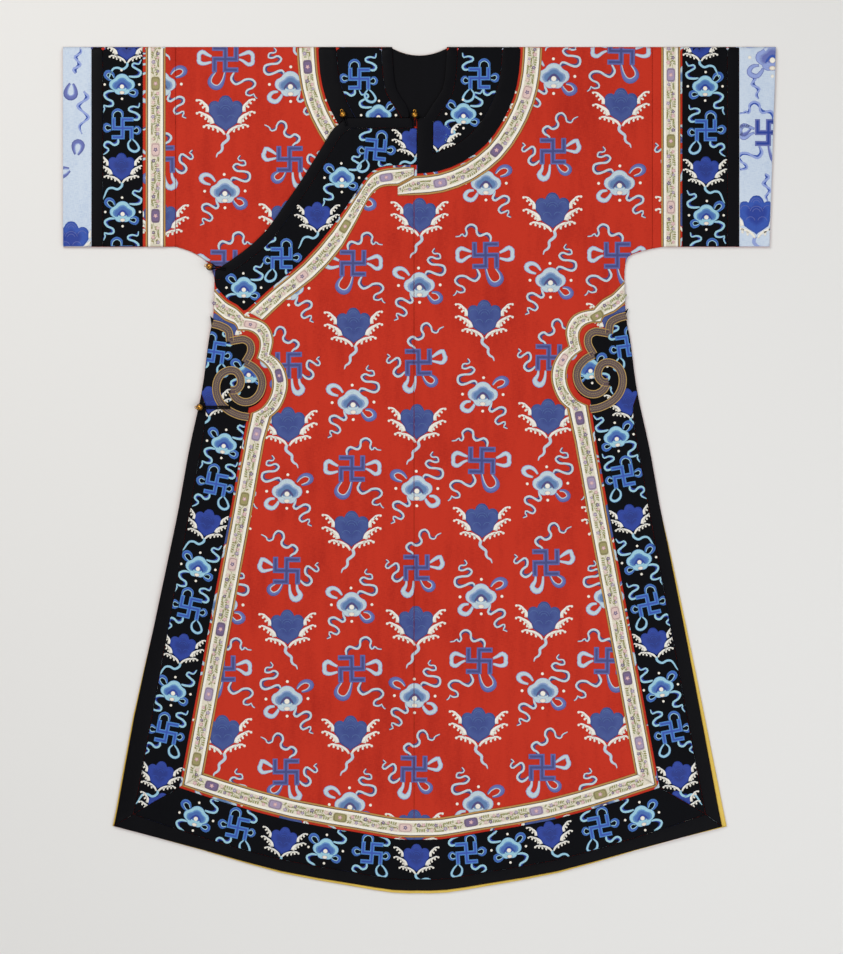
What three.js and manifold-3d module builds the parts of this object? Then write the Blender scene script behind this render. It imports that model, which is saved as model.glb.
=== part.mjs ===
// Informal court robe, fastened on the wearer's right, laid flat with its front up. Millimetres, +Z up, +Y
// towards the shoulders; the origin is on the surface below the middle of the robe. "left" and "right" are
// the wearer's: left is +X. The back lies on the surface, the under-flap on it, and the front over both.
import * as THREE from "three";
import { mergeVertices } from "three/addons/utils/BufferGeometryUtils.js";
import Module from "manifold-3d";

const wasm = await Module();
wasm.setup();

// Driving dimensions
const shoulderY = 698; // the fold along the top of body and sleeves
const sleeveHemY = 368; // the seam below the sleeves
const sleeveEnd = 588; // from the centre to the end of a sleeve
const centreSeam = -9;
const cloth = 1.5; // lined silk
const trim = 1.0; // bands, bindings and ribbons
const gap = 0.3; // between layers, and between neighbours at a seam
const foldWall = 2; // cloth that turns down along the shoulder fold
const gridStep = 56; // of the height field that all layers follow
const bandWidth = 66; // black woven band
const pipingWidth = 3.5; // line of ground left between band and ribbon
const ribbonWidth = 32;
const collarSatin = 30;
const neckSatin = 18;
const lapelSatin = 17;
const ruyiPiping = 9; // line of ground between a ruyi head and the band inside it
const scrollWidth = 13.5;
const ruyiDrop = 13; // the right-hand ruyi head sits lower
const flapEnd = -150; // lower edge of the under-flap
const flapEdge = -17; // its free edge, just past the centre
const neckScoop = 12; // depth of the back neckline
const slitTop = 104;
const satinTop = 140; // where the side binding runs out above the slit
const buttonRadius = 5.2;
const loopRadius = 1.2;
const centreBinding = 26; // satin between the left collar band's end and the overlap
const bandFoot = 522; // where the left collar band's inner end stops
const notch = { x: -36, top: 467, bottom: 452, seam: 484 }; // step where collar and lapel ribbons meet
const columnFoot = -5; // a column for cutting runs from below the robe
const columnTop = 40; // to above it

// Half widths of the skirt at each height: outer edge of the black band, edge of the front, and what the
// lining shows past it, on the wearer's left and right
const skirt = [
  { y: 313, band: 338, left: 338, right: 338, liningLeft: 0, liningRight: 0 },
  { y: 254, band: 340, left: 340, right: 340, liningLeft: 0, liningRight: 0 },
  { y: 223, band: 346, left: 346, right: 346, liningLeft: 0, liningRight: 0 },
  { y: 187, band: 350, left: 351, right: 351, liningLeft: 0, liningRight: 0 },
  { y: 147, band: 353, left: 356, right: 356, liningLeft: 0, liningRight: 0 },
  { y: 104, band: 352, left: 364, right: 364, liningLeft: 0, liningRight: 0 },
  { y: 60, band: 356, left: 374, right: 374, liningLeft: 0, liningRight: 0 },
  { y: 16, band: 364, left: 383, right: 383, liningLeft: 0, liningRight: 0 },
  { y: -58, band: 377, left: 396, right: 396, liningLeft: 0, liningRight: 0 },
  { y: -117, band: 388, left: 408, right: 408, liningLeft: 1.5, liningRight: 0 },
  { y: -258, band: 414, left: 436, right: 438, liningLeft: 4, liningRight: 0 },
  { y: -400, band: 440, left: 463, right: 469, liningLeft: 6, liningRight: 2 },
  { y: -560, band: 470, left: 493, right: 498, liningLeft: 8, liningRight: 2.5 },
];
const bandCorner = { x: 473, y: -567 };
const edgeCorner = { left: { x: 499, y: -588 }, right: { x: 504, y: -587 } };

// The hem from the middle to the corners, the same on both sides
const hem = [
  { x: 0, edge: -693, band: -675, lining: 5 },
  { x: 44, edge: -692, band: -674, lining: 5 },
  { x: 115, edge: -681, band: -662, lining: 4.5 },
  { x: 228, edge: -661, band: -642, lining: 3.5 },
  { x: 350, edge: -628, band: -608, lining: 1.5 },
];

// The curve under each arm, from the sleeve to the side seam
const underarm = {
  left: [
    { x: 402, y: 368 },
    { x: 384, y: 365 },
    { x: 352, y: 356 },
    { x: 340, y: 344 },
  ],
  right: [
    { x: 402, y: 368 },
    { x: 382, y: 362 },
    { x: 362, y: 352 },
    { x: 345, y: 337 },
  ],
};

// Edge of the neck hole, and the seam between collar satin and collar ribbon, as on the wearer's left
const neckEdge = [
  { x: 45, y: 698 },
  { x: 43, y: 660 },
  { x: 38, y: 628 },
  { x: 22, y: 603 },
  { x: 8, y: 580 },
];
const collarEdge = [
  { x: 167, y: 698 },
  { x: 164, y: 655 },
  { x: 155, y: 614 },
  { x: 136, y: 573 },
  { x: 110, y: 537 },
  { x: 72, y: 508 },
  { x: 31, y: 492 },
  { x: -4, y: 488 },
];

// Free edge of the overlap, from the neck to the underarm
const lapelEdge = [
  { x: centreSeam, y: 580, corner: true },
  { x: -119, y: 580, corner: true },
  { x: -141, y: 563 },
  { x: -156, y: 540 },
  { x: -191, y: 483 },
  { x: -219, y: 442 },
  { x: -253, y: 394 },
  { x: -292, y: 359 },
  { x: -336, y: 329, corner: true },
];

// The lapel ribbon's upper and lower edge, from the notch at the neck to the right ruyi head
const lapelRibbonTop = [
  { x: -9, y: 499, corner: true },
  { x: -43, y: 498 },
  { x: -66, y: 494 },
  { x: -82, y: 484 },
  { x: -96, y: 464 },
  { x: -143, y: 396 },
  { x: -191, y: 341 },
  { x: -243, y: 297 },
  { x: -283, y: 261 },
];
const lapelRibbonBottom = [
  { x: -36, y: 468, corner: true },
  { x: -58, y: 467 },
  { x: -72, y: 460 },
  { x: -87, y: 441 },
  { x: -126, y: 368 },
  { x: -174, y: 315 },
  { x: -219, y: 281 },
  { x: -256, y: 246 },
];

// Ruyi head of the side ribbon: its two edges, from the side seam to the straight ribbon
const ruyiOuter = [
  { x: 338, y: 312 },
  { x: 318, y: 291 },
  { x: 302, y: 282 },
  { x: 286, y: 266, corner: true },
  { x: 270, y: 263 },
  { x: 254, y: 256 },
  { x: 244, y: 243 },
  { x: 240, y: 225 },
  { x: 245, y: 204, corner: true },
  { x: 231, y: 194 },
  { x: 220, y: 176 },
  { x: 216, y: 155 },
  { x: 220, y: 134 },
  { x: 230, y: 113 },
  { x: 243, y: 101, corner: true },
];
const ruyiInner = [
  { x: 339, y: 274 },
  { x: 321, y: 259 },
  { x: 304, y: 252 },
  { x: 300, y: 242, corner: true },
  { x: 283, y: 242 },
  { x: 270, y: 235 },
  { x: 264, y: 224 },
  { x: 265, y: 210 },
  { x: 269, y: 197, corner: true },
  { x: 255, y: 187 },
  { x: 245, y: 171 },
  { x: 243, y: 152 },
  { x: 248, y: 132 },
  { x: 261, y: 115 },
  { x: 278, y: 107, corner: true },
];

// Centre lines of the braid scroll's two arms
const scrollUpper = [
  { x: 341, y: 254 },
  { x: 327, y: 250 },
  { x: 315, y: 242 },
  { x: 312, y: 225, corner: true },
  { x: 301, y: 227 },
  { x: 289, y: 228 },
  { x: 279, y: 221 },
  { x: 278, y: 207 },
  { x: 287, y: 190, corner: true },
  { x: 273, y: 182 },
  { x: 262, y: 169 },
  { x: 259, y: 154 },
  { x: 264, y: 138 },
  { x: 276, y: 127 },
  { x: 290, y: 125 },
  { x: 302, y: 131 },
  { x: 309, y: 142 },
];
const scrollLower = [
  { x: 281, y: 100 },
  { x: 297, y: 103 },
  { x: 314, y: 111 },
  { x: 327, y: 123 },
  { x: 334, y: 139 },
  { x: 334, y: 156 },
  { x: 327, y: 170 },
  { x: 314, y: 177 },
  { x: 302, y: 175 },
  { x: 295, y: 165 },
  { x: 295, y: 153 },
  { x: 302, y: 145 },
  { x: 311, y: 144 },
];

// Trims round each sleeve, from the seam outwards, with the turned cuff last
const sleeveSeam = { left: 384, right: 402 };
const sleeveTrims = [
  { name: "ribbon_sleeve", look: "ribbon", leftFrom: 398.5, leftTo: 430, rightFrom: 418.5, rightTo: 451.5 },
  { name: "band_sleeve", look: "band", leftFrom: 433, leftTo: 507.5, rightFrom: 456, rightTo: 522 },
  { name: "satin_sleeve", look: "satin", leftFrom: 507.5, leftTo: 527, rightFrom: 522, rightTo: 540.5 },
  { name: "cuff", look: "cuff", leftFrom: 527, leftTo: 588, rightFrom: 540.5, rightTo: 588 },
];
const cuffSlant = { left: 11, right: 0 }; // how far the lower end of the cuff draws in

// Largest soft folds: middle, direction, half length, half width and height
const folds = [
  { x: -14, y: -390, turn: 88, long: 230, wide: 64, rise: 2.8 },
  { x: 118, y: -372, turn: 38, long: 150, wide: 64, rise: 2.4 },
  { x: 215, y: -420, turn: 99, long: 200, wide: 72, rise: 3.0 },
  { x: -225, y: -400, turn: 80, long: 220, wide: 72, rise: 2.8 },
  { x: 60, y: 190, turn: 96, long: 180, wide: 70, rise: 2.0 },
  { x: -100, y: 60, turn: 84, long: 200, wide: 72, rise: 2.2 },
  { x: 285, y: 450, turn: 52, long: 110, wide: 64, rise: 2.4 },
  { x: -285, y: 480, turn: 128, long: 100, wide: 64, rise: 2.2 },
];

// Buttons: where each ball lies, the direction and length of the loop that holds it, and the height of the
// braid that the loop crosses
const fastenings = [
  { name: "neck", x: -8, y: 584, turn: -90, length: 19, over: 0 },
  { name: "clavicle", x: -126, y: 585, turn: -72, length: 19, over: 0 },
  { name: "underarm", x: -345, y: 335, turn: -8, length: 26, over: 0 },
  { name: "side", x: -361, y: 103, turn: 0, length: 50, over: trim + gap },
];

const looks = {
  silk: new THREE.MeshStandardMaterial({ color: 0xb53221, roughness: 0.6 }),
  band: new THREE.MeshStandardMaterial({ color: 0x16171f, roughness: 0.7 }),
  satin: new THREE.MeshStandardMaterial({ color: 0x0a0a0c, roughness: 0.35 }),
  ribbon: new THREE.MeshStandardMaterial({ color: 0xd9cfbf, roughness: 0.6 }),
  braid: new THREE.MeshStandardMaterial({ color: 0x8d7a55, roughness: 0.7 }),
  cuff: new THREE.MeshStandardMaterial({ color: 0xb9c6dc, roughness: 0.5 }),
  lining: new THREE.MeshStandardMaterial({ color: 0xd9b84a, roughness: 0.5 }),
  gilt: new THREE.MeshStandardMaterial({ color: 0xc99a3a, roughness: 0.3, metalness: 1 }),
};
const robe = new THREE.Group();
const point = (x, y) => new THREE.Vector2(x, y);

// Lines and outlines

// A smooth line through rows of x and y, sharp at rows marked corner.
function smooth(rows, pointsPerRow = 2) {
  const line = [];
  let stretch = [];
  for (const [i, row] of rows.entries()) {
    stretch.push(point(row.x, row.y));
    if ((row.corner || i === rows.length - 1) && stretch.length > 1) {
      const steps = (stretch.length - 1) * pointsPerRow;
      const made = stretch.length > 2 ? new THREE.SplineCurve(stretch).getPoints(steps) : stretch;
      line.push(...(line.length ? made.slice(1) : made));
      stretch = [point(row.x, row.y)];
    }
  }
  return line;
}

const placed = (line, s, drop = 0) => line.map((p) => point(s * p.x, p.y - drop));
const reversed = (line) => [...line].reverse();

// Unit normal on the right-hand side of the way from a to b.
function rightOf(a, b) {
  const way = b.clone().sub(a).normalize();
  return point(way.y, -way.x);
}

// The line moved d to its right, mitred at its points; a closed one also between its last and first.
function parallel(line, d, closed = false) {
  const n = line.length;
  return line.map((p, i) => {
    const before = closed || i > 0 ? rightOf(line[(i + n - 1) % n], p) : null;
    const after = closed || i < n - 1 ? rightOf(p, line[(i + 1) % n]) : null;
    const a = before ?? after;
    const b = after ?? before;
    const mitre = a.clone().add(b).normalize();
    const reach = d / Math.max(mitre.dot(a), 0.35);
    return point(p.x + mitre.x * reach, p.y + mitre.y * reach);
  });
}

// An outline drawn in by half a gap, so that neighbours cut on one line lie a gap apart.
function seamed(outline) {
  const kept = outline.filter((p, i) => p.distanceTo(outline[(i + 1) % outline.length]) > 0.2);
  const anticlockwise = THREE.ShapeUtils.isClockWise(kept) ? reversed(kept) : kept;
  return parallel(anticlockwise, -gap / 2, true);
}

// Solids

function solid(geometry) {
  geometry.deleteAttribute("normal");
  geometry.deleteAttribute("uv");
  const merged = mergeVertices(geometry, 1e-4);
  return new wasm.Manifold(
    new wasm.Mesh({
      numProp: 3,
      vertProperties: new Float32Array(merged.attributes.position.array),
      triVerts: new Uint32Array(merged.index.array),
    }),
  );
}

function prism(outline, bottom, top) {
  const options = { depth: top - bottom, bevelEnabled: false };
  return solid(new THREE.ExtrudeGeometry(new THREE.Shape(outline), options).translate(0, 0, bottom));
}

const column = (outline) => prism(outline, columnFoot, columnTop);

// A slab between two height functions over a box, both sampled on the one grid.
function slab(outline, under, over) {
  const box = new THREE.Box2().setFromPoints(outline);
  const from = (v) => Math.floor((v - 1) / gridStep);
  const to = (v) => Math.ceil((v + 1) / gridStep);
  const columns = to(box.max.x) - from(box.min.x) + 1;
  const rows = to(box.max.y) - from(box.min.y) + 1;
  const vertices = [];
  for (const height of [under, over]) {
    for (let j = 0; j < rows; j++) {
      for (let i = 0; i < columns; i++) {
        const x = (from(box.min.x) + i) * gridStep;
        const y = (from(box.min.y) + j) * gridStep;
        vertices.push(x, y, height(x, y));
      }
    }
  }
  const layer = columns * rows;
  const at = (i, j, k) => k * layer + j * columns + i;
  const faces = [];
  const quad = (a, b, c, d) => faces.push(a, b, c, a, c, d);
  for (let j = 0; j < rows - 1; j++) {
    for (let i = 0; i < columns - 1; i++) {
      quad(at(i, j, 1), at(i + 1, j, 1), at(i + 1, j + 1, 1), at(i, j + 1, 1));
      faces.push(at(i, j, 0), at(i + 1, j + 1, 0), at(i + 1, j, 0));
      faces.push(at(i, j, 0), at(i, j + 1, 0), at(i + 1, j + 1, 0));
    }
  }
  for (let i = 0; i < columns - 1; i++) {
    quad(at(i, 0, 0), at(i + 1, 0, 0), at(i + 1, 0, 1), at(i, 0, 1));
    quad(at(i + 1, rows - 1, 0), at(i, rows - 1, 0), at(i, rows - 1, 1), at(i + 1, rows - 1, 1));
  }
  for (let j = 0; j < rows - 1; j++) {
    quad(at(0, j + 1, 0), at(0, j, 0), at(0, j, 1), at(0, j + 1, 1));
    quad(at(columns - 1, j, 0), at(columns - 1, j + 1, 0), at(columns - 1, j + 1, 1), at(columns - 1, j, 1));
  }
  const geometry = new THREE.BufferGeometry();
  geometry.setAttribute("position", new THREE.Float32BufferAttribute(vertices, 3));
  geometry.setIndex(faces);
  return solid(geometry);
}

// The part of an outline's column between two height functions.
const layerOf = (outline, under, over) => column(outline).intersect(slab(outline, under, over));
const raised = (height, by) => (x, y) => height(x, y) + by;

function add(name, look, form) {
  let geometry = form;
  if (!form.isBufferGeometry) {
    const mesh = form.getMesh();
    geometry = new THREE.BufferGeometry();
    geometry.setAttribute("position", new THREE.Float32BufferAttribute(mesh.vertProperties, 3));
    geometry.setIndex([...mesh.triVerts]);
  }
  const piece = new THREE.Mesh(geometry, looks[look]);
  piece.name = name;
  robe.add(piece);
}

// Heights of the layers

const softStep = (t) => THREE.MathUtils.smoothstep(t, 0, 1);

// How far the soft folds lift the cloth: a sum of long rounded ridges.
function foldLift(x, y) {
  let lift = 0;
  for (const f of folds) {
    const turn = THREE.MathUtils.degToRad(f.turn);
    const along = ((x - f.x) * Math.cos(turn) + (y - f.y) * Math.sin(turn)) / f.long;
    const across = ((y - f.y) * Math.cos(turn) - (x - f.x) * Math.sin(turn)) / f.wide;
    lift += f.rise * Math.exp(-along * along - across * across);
  }
  return lift;
}

// Room for the facing inside the back of the neck, which fades out round it.
const facingLift = (x, y) => (trim + gap) * softStep((170 - Math.abs(x)) / 50) * softStep((y - 440) / 50);
// Room for the under-flap below the overlap, which fades out left of the centre and below the flap.
const flapLift = (x, y) => (cloth + gap) * softStep((70 - x) / 65) * softStep((y - flapEnd + 120) / 60);

const onSurface = () => 0;
const onBack = raised(onSurface, cloth + gap);
const firstLayer = (x, y) => onBack(x, y) + facingLift(x, y) + foldLift(x, y);
const secondLayer = (x, y) => firstLayer(x, y) + flapLift(x, y);
const onFlap = raised(firstLayer, cloth + gap);
const onFront = raised(secondLayer, cloth + gap);

const panel = (outline, layer) => layerOf(seamed(outline), layer, raised(layer, cloth));
const applied = (outline, layer) => layerOf(seamed(outline), layer, raised(layer, trim));

// Lines of the body

// Front edge from the side seam to the hem corner, what the lining shows past it, and the same for the hem.
const sideEdge = (side) => {
  const corner = edgeCorner[side];
  return smooth([...skirt.map((row) => ({ x: row[side], y: row.y })), corner]);
};
const liningKey = { left: "liningLeft", right: "liningRight" };
const liningEdge = (side) => {
  const key = liningKey[side];
  const shown = skirt[skirt.length - 1][key];
  const rows = skirt.map((row) => ({ x: row[side] + row[key], y: row.y }));
  return smooth([...rows, { x: edgeCorner[side].x + shown, y: edgeCorner[side].y }]);
};
const hemEdge = (side) => smooth([...hem.map((row) => ({ x: row.x, y: row.edge })), edgeCorner[side]]);
const hemLining = (side) =>
  smooth([...hem.map((row) => ({ x: row.x, y: row.edge - row.lining })), edgeCorner[side]]);

// Side of the body from the shoulder to the side seam.
const armside = (side, top) => {
  const seam = sleeveSeam[side];
  const curve = smooth([...underarm[side], { x: skirt[0][side], y: skirt[0].y }]);
  return [point(seam, top), ...curve.filter((p) => p.x < seam + 0.01)];
};

// The black band's outer edge down the left side and along the left half of the hem. Every other line of the
// border lies a given way inside it.
const sideBand = smooth([
  ...skirt.filter((row) => row.y <= slitTop).map((row) => ({ x: row.band, y: row.y })),
  bandCorner,
]);
const hemBand = reversed(smooth([...hem.map((row) => ({ x: row.x, y: row.band })), bandCorner]));

// Where two lines cross: the place, and the number of the piece of each line that it is on.
function crossing(one, two) {
  for (let i = 0; i < one.length - 1; i++) {
    for (let j = 0; j < two.length - 1; j++) {
      const r = one[i + 1].clone().sub(one[i]);
      const q = two[j + 1].clone().sub(two[j]);
      const from = two[j].clone().sub(one[i]);
      const t = from.cross(q) / r.cross(q);
      const u = from.cross(r) / r.cross(q);
      if (t >= 0 && t <= 1 && u >= 0 && u <= 1) return { at: one[i].clone().addScaledVector(r, t), i, j };
    }
  }
  return { at: one[one.length - 1], i: one.length - 2, j: 0 };
}

// The border's line d further in, as its side and its half of the hem, cut where the two meet.
function border(d) {
  const side = parallel(sideBand, d);
  const foot = parallel(hemBand, d).map((p) => point(Math.max(p.x, 0), p.y));
  const { at, i, j } = crossing(side, foot);
  return { side: [...side.slice(0, i + 1), at], foot: [at, ...foot.slice(j + 1)] };
}

const neckLine = smooth(neckEdge);
const neckLineRight = placed(neckLine, -1).map((p) => point(Math.min(p.x, flapEdge), p.y));
const collarLine = smooth(collarEdge);
const lapelLine = smooth(lapelEdge);
const lapelTop = lapelEdge[0].y;
const neckX = neckEdge[0].x;

// Body panels

// Cloth that folds over the shoulder and comes down to the back's edge.
const shoulderFold = (from, to, layer) => {
  const low = shoulderY - foldWall;
  const outline = [point(from, shoulderY), point(from, low), point(to, low), point(to, shoulderY)];
  return layerOf(seamed(outline), onSurface, raised(layer, cloth));
};

const backTop = shoulderY - foldWall - gap;
const scoop = [];
for (let i = -4; i <= 4; i++) {
  const share = i / 4;
  scoop.push(point(neckX * share, backTop - neckScoop * (1 - share * share)));
}
const backHalf = (side) => [
  ...armside(side, backTop),
  ...liningEdge(side).slice(1),
  ...reversed(hemLining(side)).slice(1),
];
const backOutline = [...scoop, ...backHalf("left"), ...reversed(placed(backHalf("right"), -1))];
add("back_body", "silk", prism(seamed(backOutline), 0, cloth));

const frontLeft = [
  ...reversed(neckLine),
  ...armside("left", shoulderY),
  ...sideEdge("left").slice(1),
  ...reversed(hemEdge("left")).slice(1),
  point(centreSeam, hem[0].edge),
  point(centreSeam, lapelTop),
];
const leftFold = shoulderFold(neckX, sleeveSeam.left, secondLayer);
add("front_left", "silk", panel(frontLeft, secondLayer).add(leftFold));

const frontOverlap = [
  ...lapelLine,
  ...placed(sideEdge("right"), -1),
  ...reversed(placed(hemEdge("right"), -1)).filter((p) => p.x < centreSeam),
  point(centreSeam, hem[0].edge),
];
add("front_overlap", "silk", panel(frontOverlap, secondLayer));

// Below the slit the flap's edge lies a little inside the overlap's.
const flapInset = 6;
const flapSide = sideEdge("right")
  .filter((p) => p.y > flapEnd)
  .map((p) => point(-p.x + flapInset * softStep((slitTop - p.y) / 60), p.y));
const underFlap = [
  ...neckLineRight,
  point(flapEdge, flapEnd),
  point(flapSide[flapSide.length - 1].x, flapEnd),
  ...reversed(flapSide),
  ...reversed(placed(armside("right", shoulderY), -1)),
];
const rightFold = shoulderFold(-sleeveSeam.right, -neckX, firstLayer);
add("under_flap", "silk", panel(underFlap, firstLayer).add(rightFold));

// Sleeves: flattened tubes, folded at the top and seamed below, open at both ends

const sides = [
  { side: "left", s: 1 },
  { side: "right", s: -1 },
];
for (const { side, s } of sides) {
  const seam = sleeveSeam[side];
  const lowEnd = sleeveEnd - cuffSlant[side];
  const start = underarm[side].filter((row) => row.x >= seam).map((row) => point(row.x, row.y));
  const outline = [point(seam, shoulderY), point(sleeveEnd, shoulderY), point(lowEnd, sleeveHemY), ...start];
  const past = 20; // the hollow is cut right through both ends
  const inside = [
    point(seam - past, shoulderY - foldWall),
    point(sleeveEnd + past, shoulderY - foldWall),
    point(sleeveEnd + past, sleeveHemY + foldWall),
    point(seam - past, sleeveHemY + foldWall),
  ];
  const tube = layerOf(seamed(placed(outline, s)), onSurface, raised(firstLayer, cloth));
  const hollow = layerOf(placed(inside, s), raised(onSurface, cloth), firstLayer);
  add(`sleeve_${side}`, "silk", tube.subtract(hollow));

  for (const row of sleeveTrims) {
    const from = row[`${side}From`];
    const to = row[`${side}To`];
    const slant = row.name === "cuff" ? cuffSlant[side] : 0;
    const ring = [
      point(from, shoulderY),
      point(to, shoulderY),
      point(to - slant, sleeveHemY),
      point(from, sleeveHemY),
    ];
    add(`${row.name}_${side}`, row.look, applied(placed(ring, s), onFlap));
  }
}

// Collar: a black band between two satin bindings, and the ribbon round them

const overlapEnd = centreSeam + 5;
const bandEnd = overlapEnd + centreBinding;
const belowShoulder = (line) => line.map((p) => point(p.x, Math.min(p.y, shoulderY)));
const bandOuter = parallel(collarLine, collarSatin).filter((p) => p.x > bandEnd);
const bandInner = parallel(neckLine, -neckSatin).filter((p) => p.x > bandEnd);
const collarBand = belowShoulder([
  ...bandOuter,
  point(bandEnd, bandFoot),
  point(bandEnd, lapelTop - 4),
  ...reversed(bandInner),
]);
const ribbonUpper = parallel(collarLine, -pipingWidth);
const ribbonLower = parallel(collarLine, -pipingWidth - ribbonWidth);
const collarRibbon = belowShoulder([
  ...ribbonUpper,
  point(centreSeam, notch.seam),
  point(notch.x, notch.top),
  point(notch.x, notch.bottom),
  ...reversed(ribbonLower),
]);

// Everything on the under-flap stops at the overlap's edge.
const clearOfLapel = parallel(lapelLine, gap).slice(1);
const clearTop = shoulderY + 9;
const overFlap = column([
  point(clearOfLapel[clearOfLapel.length - 1].x, clearTop),
  point(0, clearTop),
  point(0, lapelTop + gap),
  ...clearOfLapel,
]);
const widened = (outline) => {
  const anticlockwise = THREE.ShapeUtils.isClockWise(outline) ? reversed(outline) : outline;
  return column(parallel(anticlockwise, gap / 2, true));
};
const collarArea = [...collarLine, point(overlapEnd, lapelTop), ...reversed(neckLine)];
add("satin_collar_left", "satin", applied(collarArea, onFront).subtract(widened(collarBand)));
add("band_collar_left", "band", applied(collarBand, onFront));
add("ribbon_collar_left", "ribbon", applied(collarRibbon, onFront));

const rightOfFlap = (outline) => applied(placed(outline, -1), onFlap).intersect(overFlap);
const outerBinding = [...collarLine, ...reversed(parallel(collarLine, collarSatin))];
const neckBinding = [...neckLine.map((p) => point(Math.max(p.x, -flapEdge), p.y)), ...reversed(bandInner)];
add("satin_collar_right", "satin", rightOfFlap(belowShoulder(outerBinding)));
add("satin_neck_right", "satin", rightOfFlap(belowShoulder(neckBinding)));
add("band_collar_right", "band", rightOfFlap(collarBand));
add("ribbon_collar_right", "ribbon", rightOfFlap(collarRibbon));

// Lapel: satin binding, black band, and the ribbon that runs down to the right ruyi head

const lapelInner = parallel(lapelLine, -lapelSatin);
const ribbonTop = smooth(lapelRibbonTop);
const ribbonBottom = smooth(lapelRibbonBottom);
const rightRuyiOuter = placed(smooth(ruyiOuter), -1, ruyiDrop);
const bandStop = lapelRibbonTop[lapelRibbonTop.length - 1].x - pipingWidth; // at the right ruyi head
const rightRuyiTop = parallel(rightRuyiOuter, -pipingWidth).filter((p) => p.x < bandStop);
const sideFoot = point(-skirt[0].right, skirt[0].y);
add("satin_lapel", "satin", applied([...lapelLine, sideFoot, ...reversed(lapelInner)], onFront));
add(
  "band_lapel",
  "band",
  applied(
    [
      point(overlapEnd, lapelInner[0].y),
      ...lapelInner.slice(1),
      point(sideFoot.x, sideFoot.y - gap),
      ...rightRuyiTop,
      ...reversed(parallel(ribbonTop, pipingWidth)),
      point(overlapEnd, ribbonTop[0].y + pipingWidth),
    ],
    onFront,
  ),
);
add(
  "ribbon_lapel",
  "ribbon",
  applied(
    [...ribbonTop, ...reversed(ribbonBottom), point(notch.x, notch.top), point(centreSeam, notch.seam)],
    onFront,
  ),
);

// Sides and hem: satin binding, black band, ribbon, and the braid scroll inside each ruyi head

const bandOut = border(0);
const bandIn = border(bandWidth);
const ribbonOut = border(bandWidth + pipingWidth);
const ribbonIn = border(bandWidth + pipingWidth + ribbonWidth);
const onBand = raised(onFront, trim + gap);
const stroke = (line, width) => [...parallel(line, width / 2), ...reversed(parallel(line, -width / 2))];

for (const { side, s } of sides) {
  const drop = side === "right" ? ruyiDrop : 0;
  const outer = placed(smooth(ruyiOuter), 1, drop);
  const inner = placed(smooth(ruyiInner), 1, drop);
  const head = 2; // points of the border that the ruyi head takes the place of
  const ribbon = [
    ...outer,
    ...ribbonIn.side.slice(head),
    ...reversed(ribbonOut.side.slice(head)),
    ...reversed(inner),
  ];
  add(`ribbon_side_${side}`, "ribbon", applied(placed(ribbon, s), onFront));

  const seamLine = sideEdge(side).filter((p) => p.y > slitTop && p.y < inner[0].y - ruyiPiping);
  const band = [
    ...seamLine,
    ...bandOut.side,
    ...reversed(bandIn.side.slice(head)),
    ...reversed(parallel(inner, -ruyiPiping)),
  ];
  add(`band_side_${side}`, "band", applied(placed(band, s), onFront));

  const edge = sideEdge(side).filter((p) => p.y < satinTop);
  const satin = [...edge, ...reversed(bandOut.side)];
  add(`satin_side_${side}`, "satin", applied(placed(satin, s), onFront));

  const arms = [scrollUpper, scrollLower].map((rows) => placed(stroke(smooth(rows), scrollWidth), s, drop));
  const [upper, lower] = arms.map(column);
  const sheet = slab(arms.flat(), onBand, raised(onBand, trim));
  add(`scroll_${side}`, "braid", upper.add(lower).intersect(sheet));
}

const bothHalves = (foot) => [...foot, ...reversed(placed(foot, -1)).slice(1)];
const hemStrip = (outer, inner) => [...bothHalves(outer.foot), ...reversed(bothHalves(inner.foot))];
const hemWhole = [...reversed(hemEdge("left")), ...placed(hemEdge("right"), -1).slice(1)];
add("satin_hem", "satin", applied([...hemWhole, ...reversed(bothHalves(bandOut.foot))], onFront));
add("band_hem", "band", applied(hemStrip(bandOut, bandIn), onFront));
add("ribbon_hem", "ribbon", applied(hemStrip(ribbonOut, ribbonIn), onFront));

// Facing inside the back of the neck, and the yellow lining past the front's edges

const facing = { half: 72, top: backTop - gap, side: 600, foot: 556 };
const facingOutline = [
  point(-facing.half, facing.top),
  ...placed(scoop, 1, gap),
  point(facing.half, facing.top),
  point(facing.half, facing.side),
  point(facing.half / 2, facing.foot),
  point(-facing.half / 2, facing.foot),
  point(-facing.half, facing.side),
];
const flatTrim = (outline) => prism(seamed(outline), cloth + gap, cloth + gap + trim);
add("neck_facing", "satin", flatTrim(facingOutline));
for (const { side, s } of sides) {
  const key = liningKey[side];
  const top = skirt.find((row) => row[key] > 0).y;
  const below = (line) => line.filter((p) => p.y <= top);
  const strip = [...below(sideEdge(side)), ...reversed(below(liningEdge(side)))];
  add(`lining_side_${side}`, "lining", flatTrim(placed(strip, s)));
}
const liningReach = hem[hem.length - 1].x;
const within = (line) => line.filter((p) => p.x <= liningReach + 0.01);
const hemSpan = (line) => [...reversed(placed(within(line), -1)), ...within(line).slice(1)];
add("lining_hem", "lining", flatTrim([...hemSpan(hemEdge("left")), ...reversed(hemSpan(hemLining("left")))]));

// Buttons and loops

// Height of a layer at any place, as the grid's flat triangles give it.
function gridHeight(height, x, y) {
  const i = Math.floor(x / gridStep);
  const j = Math.floor(y / gridStep);
  const at = (a, b) => height((i + a) * gridStep, (j + b) * gridStep);
  const u = x / gridStep - i;
  const v = y / gridStep - j;
  return u > v
    ? at(0, 0) + (at(1, 0) - at(0, 0)) * u + (at(1, 1) - at(1, 0)) * v
    : at(0, 0) + (at(1, 1) - at(0, 1)) * u + (at(0, 1) - at(0, 0)) * v;
}

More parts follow.
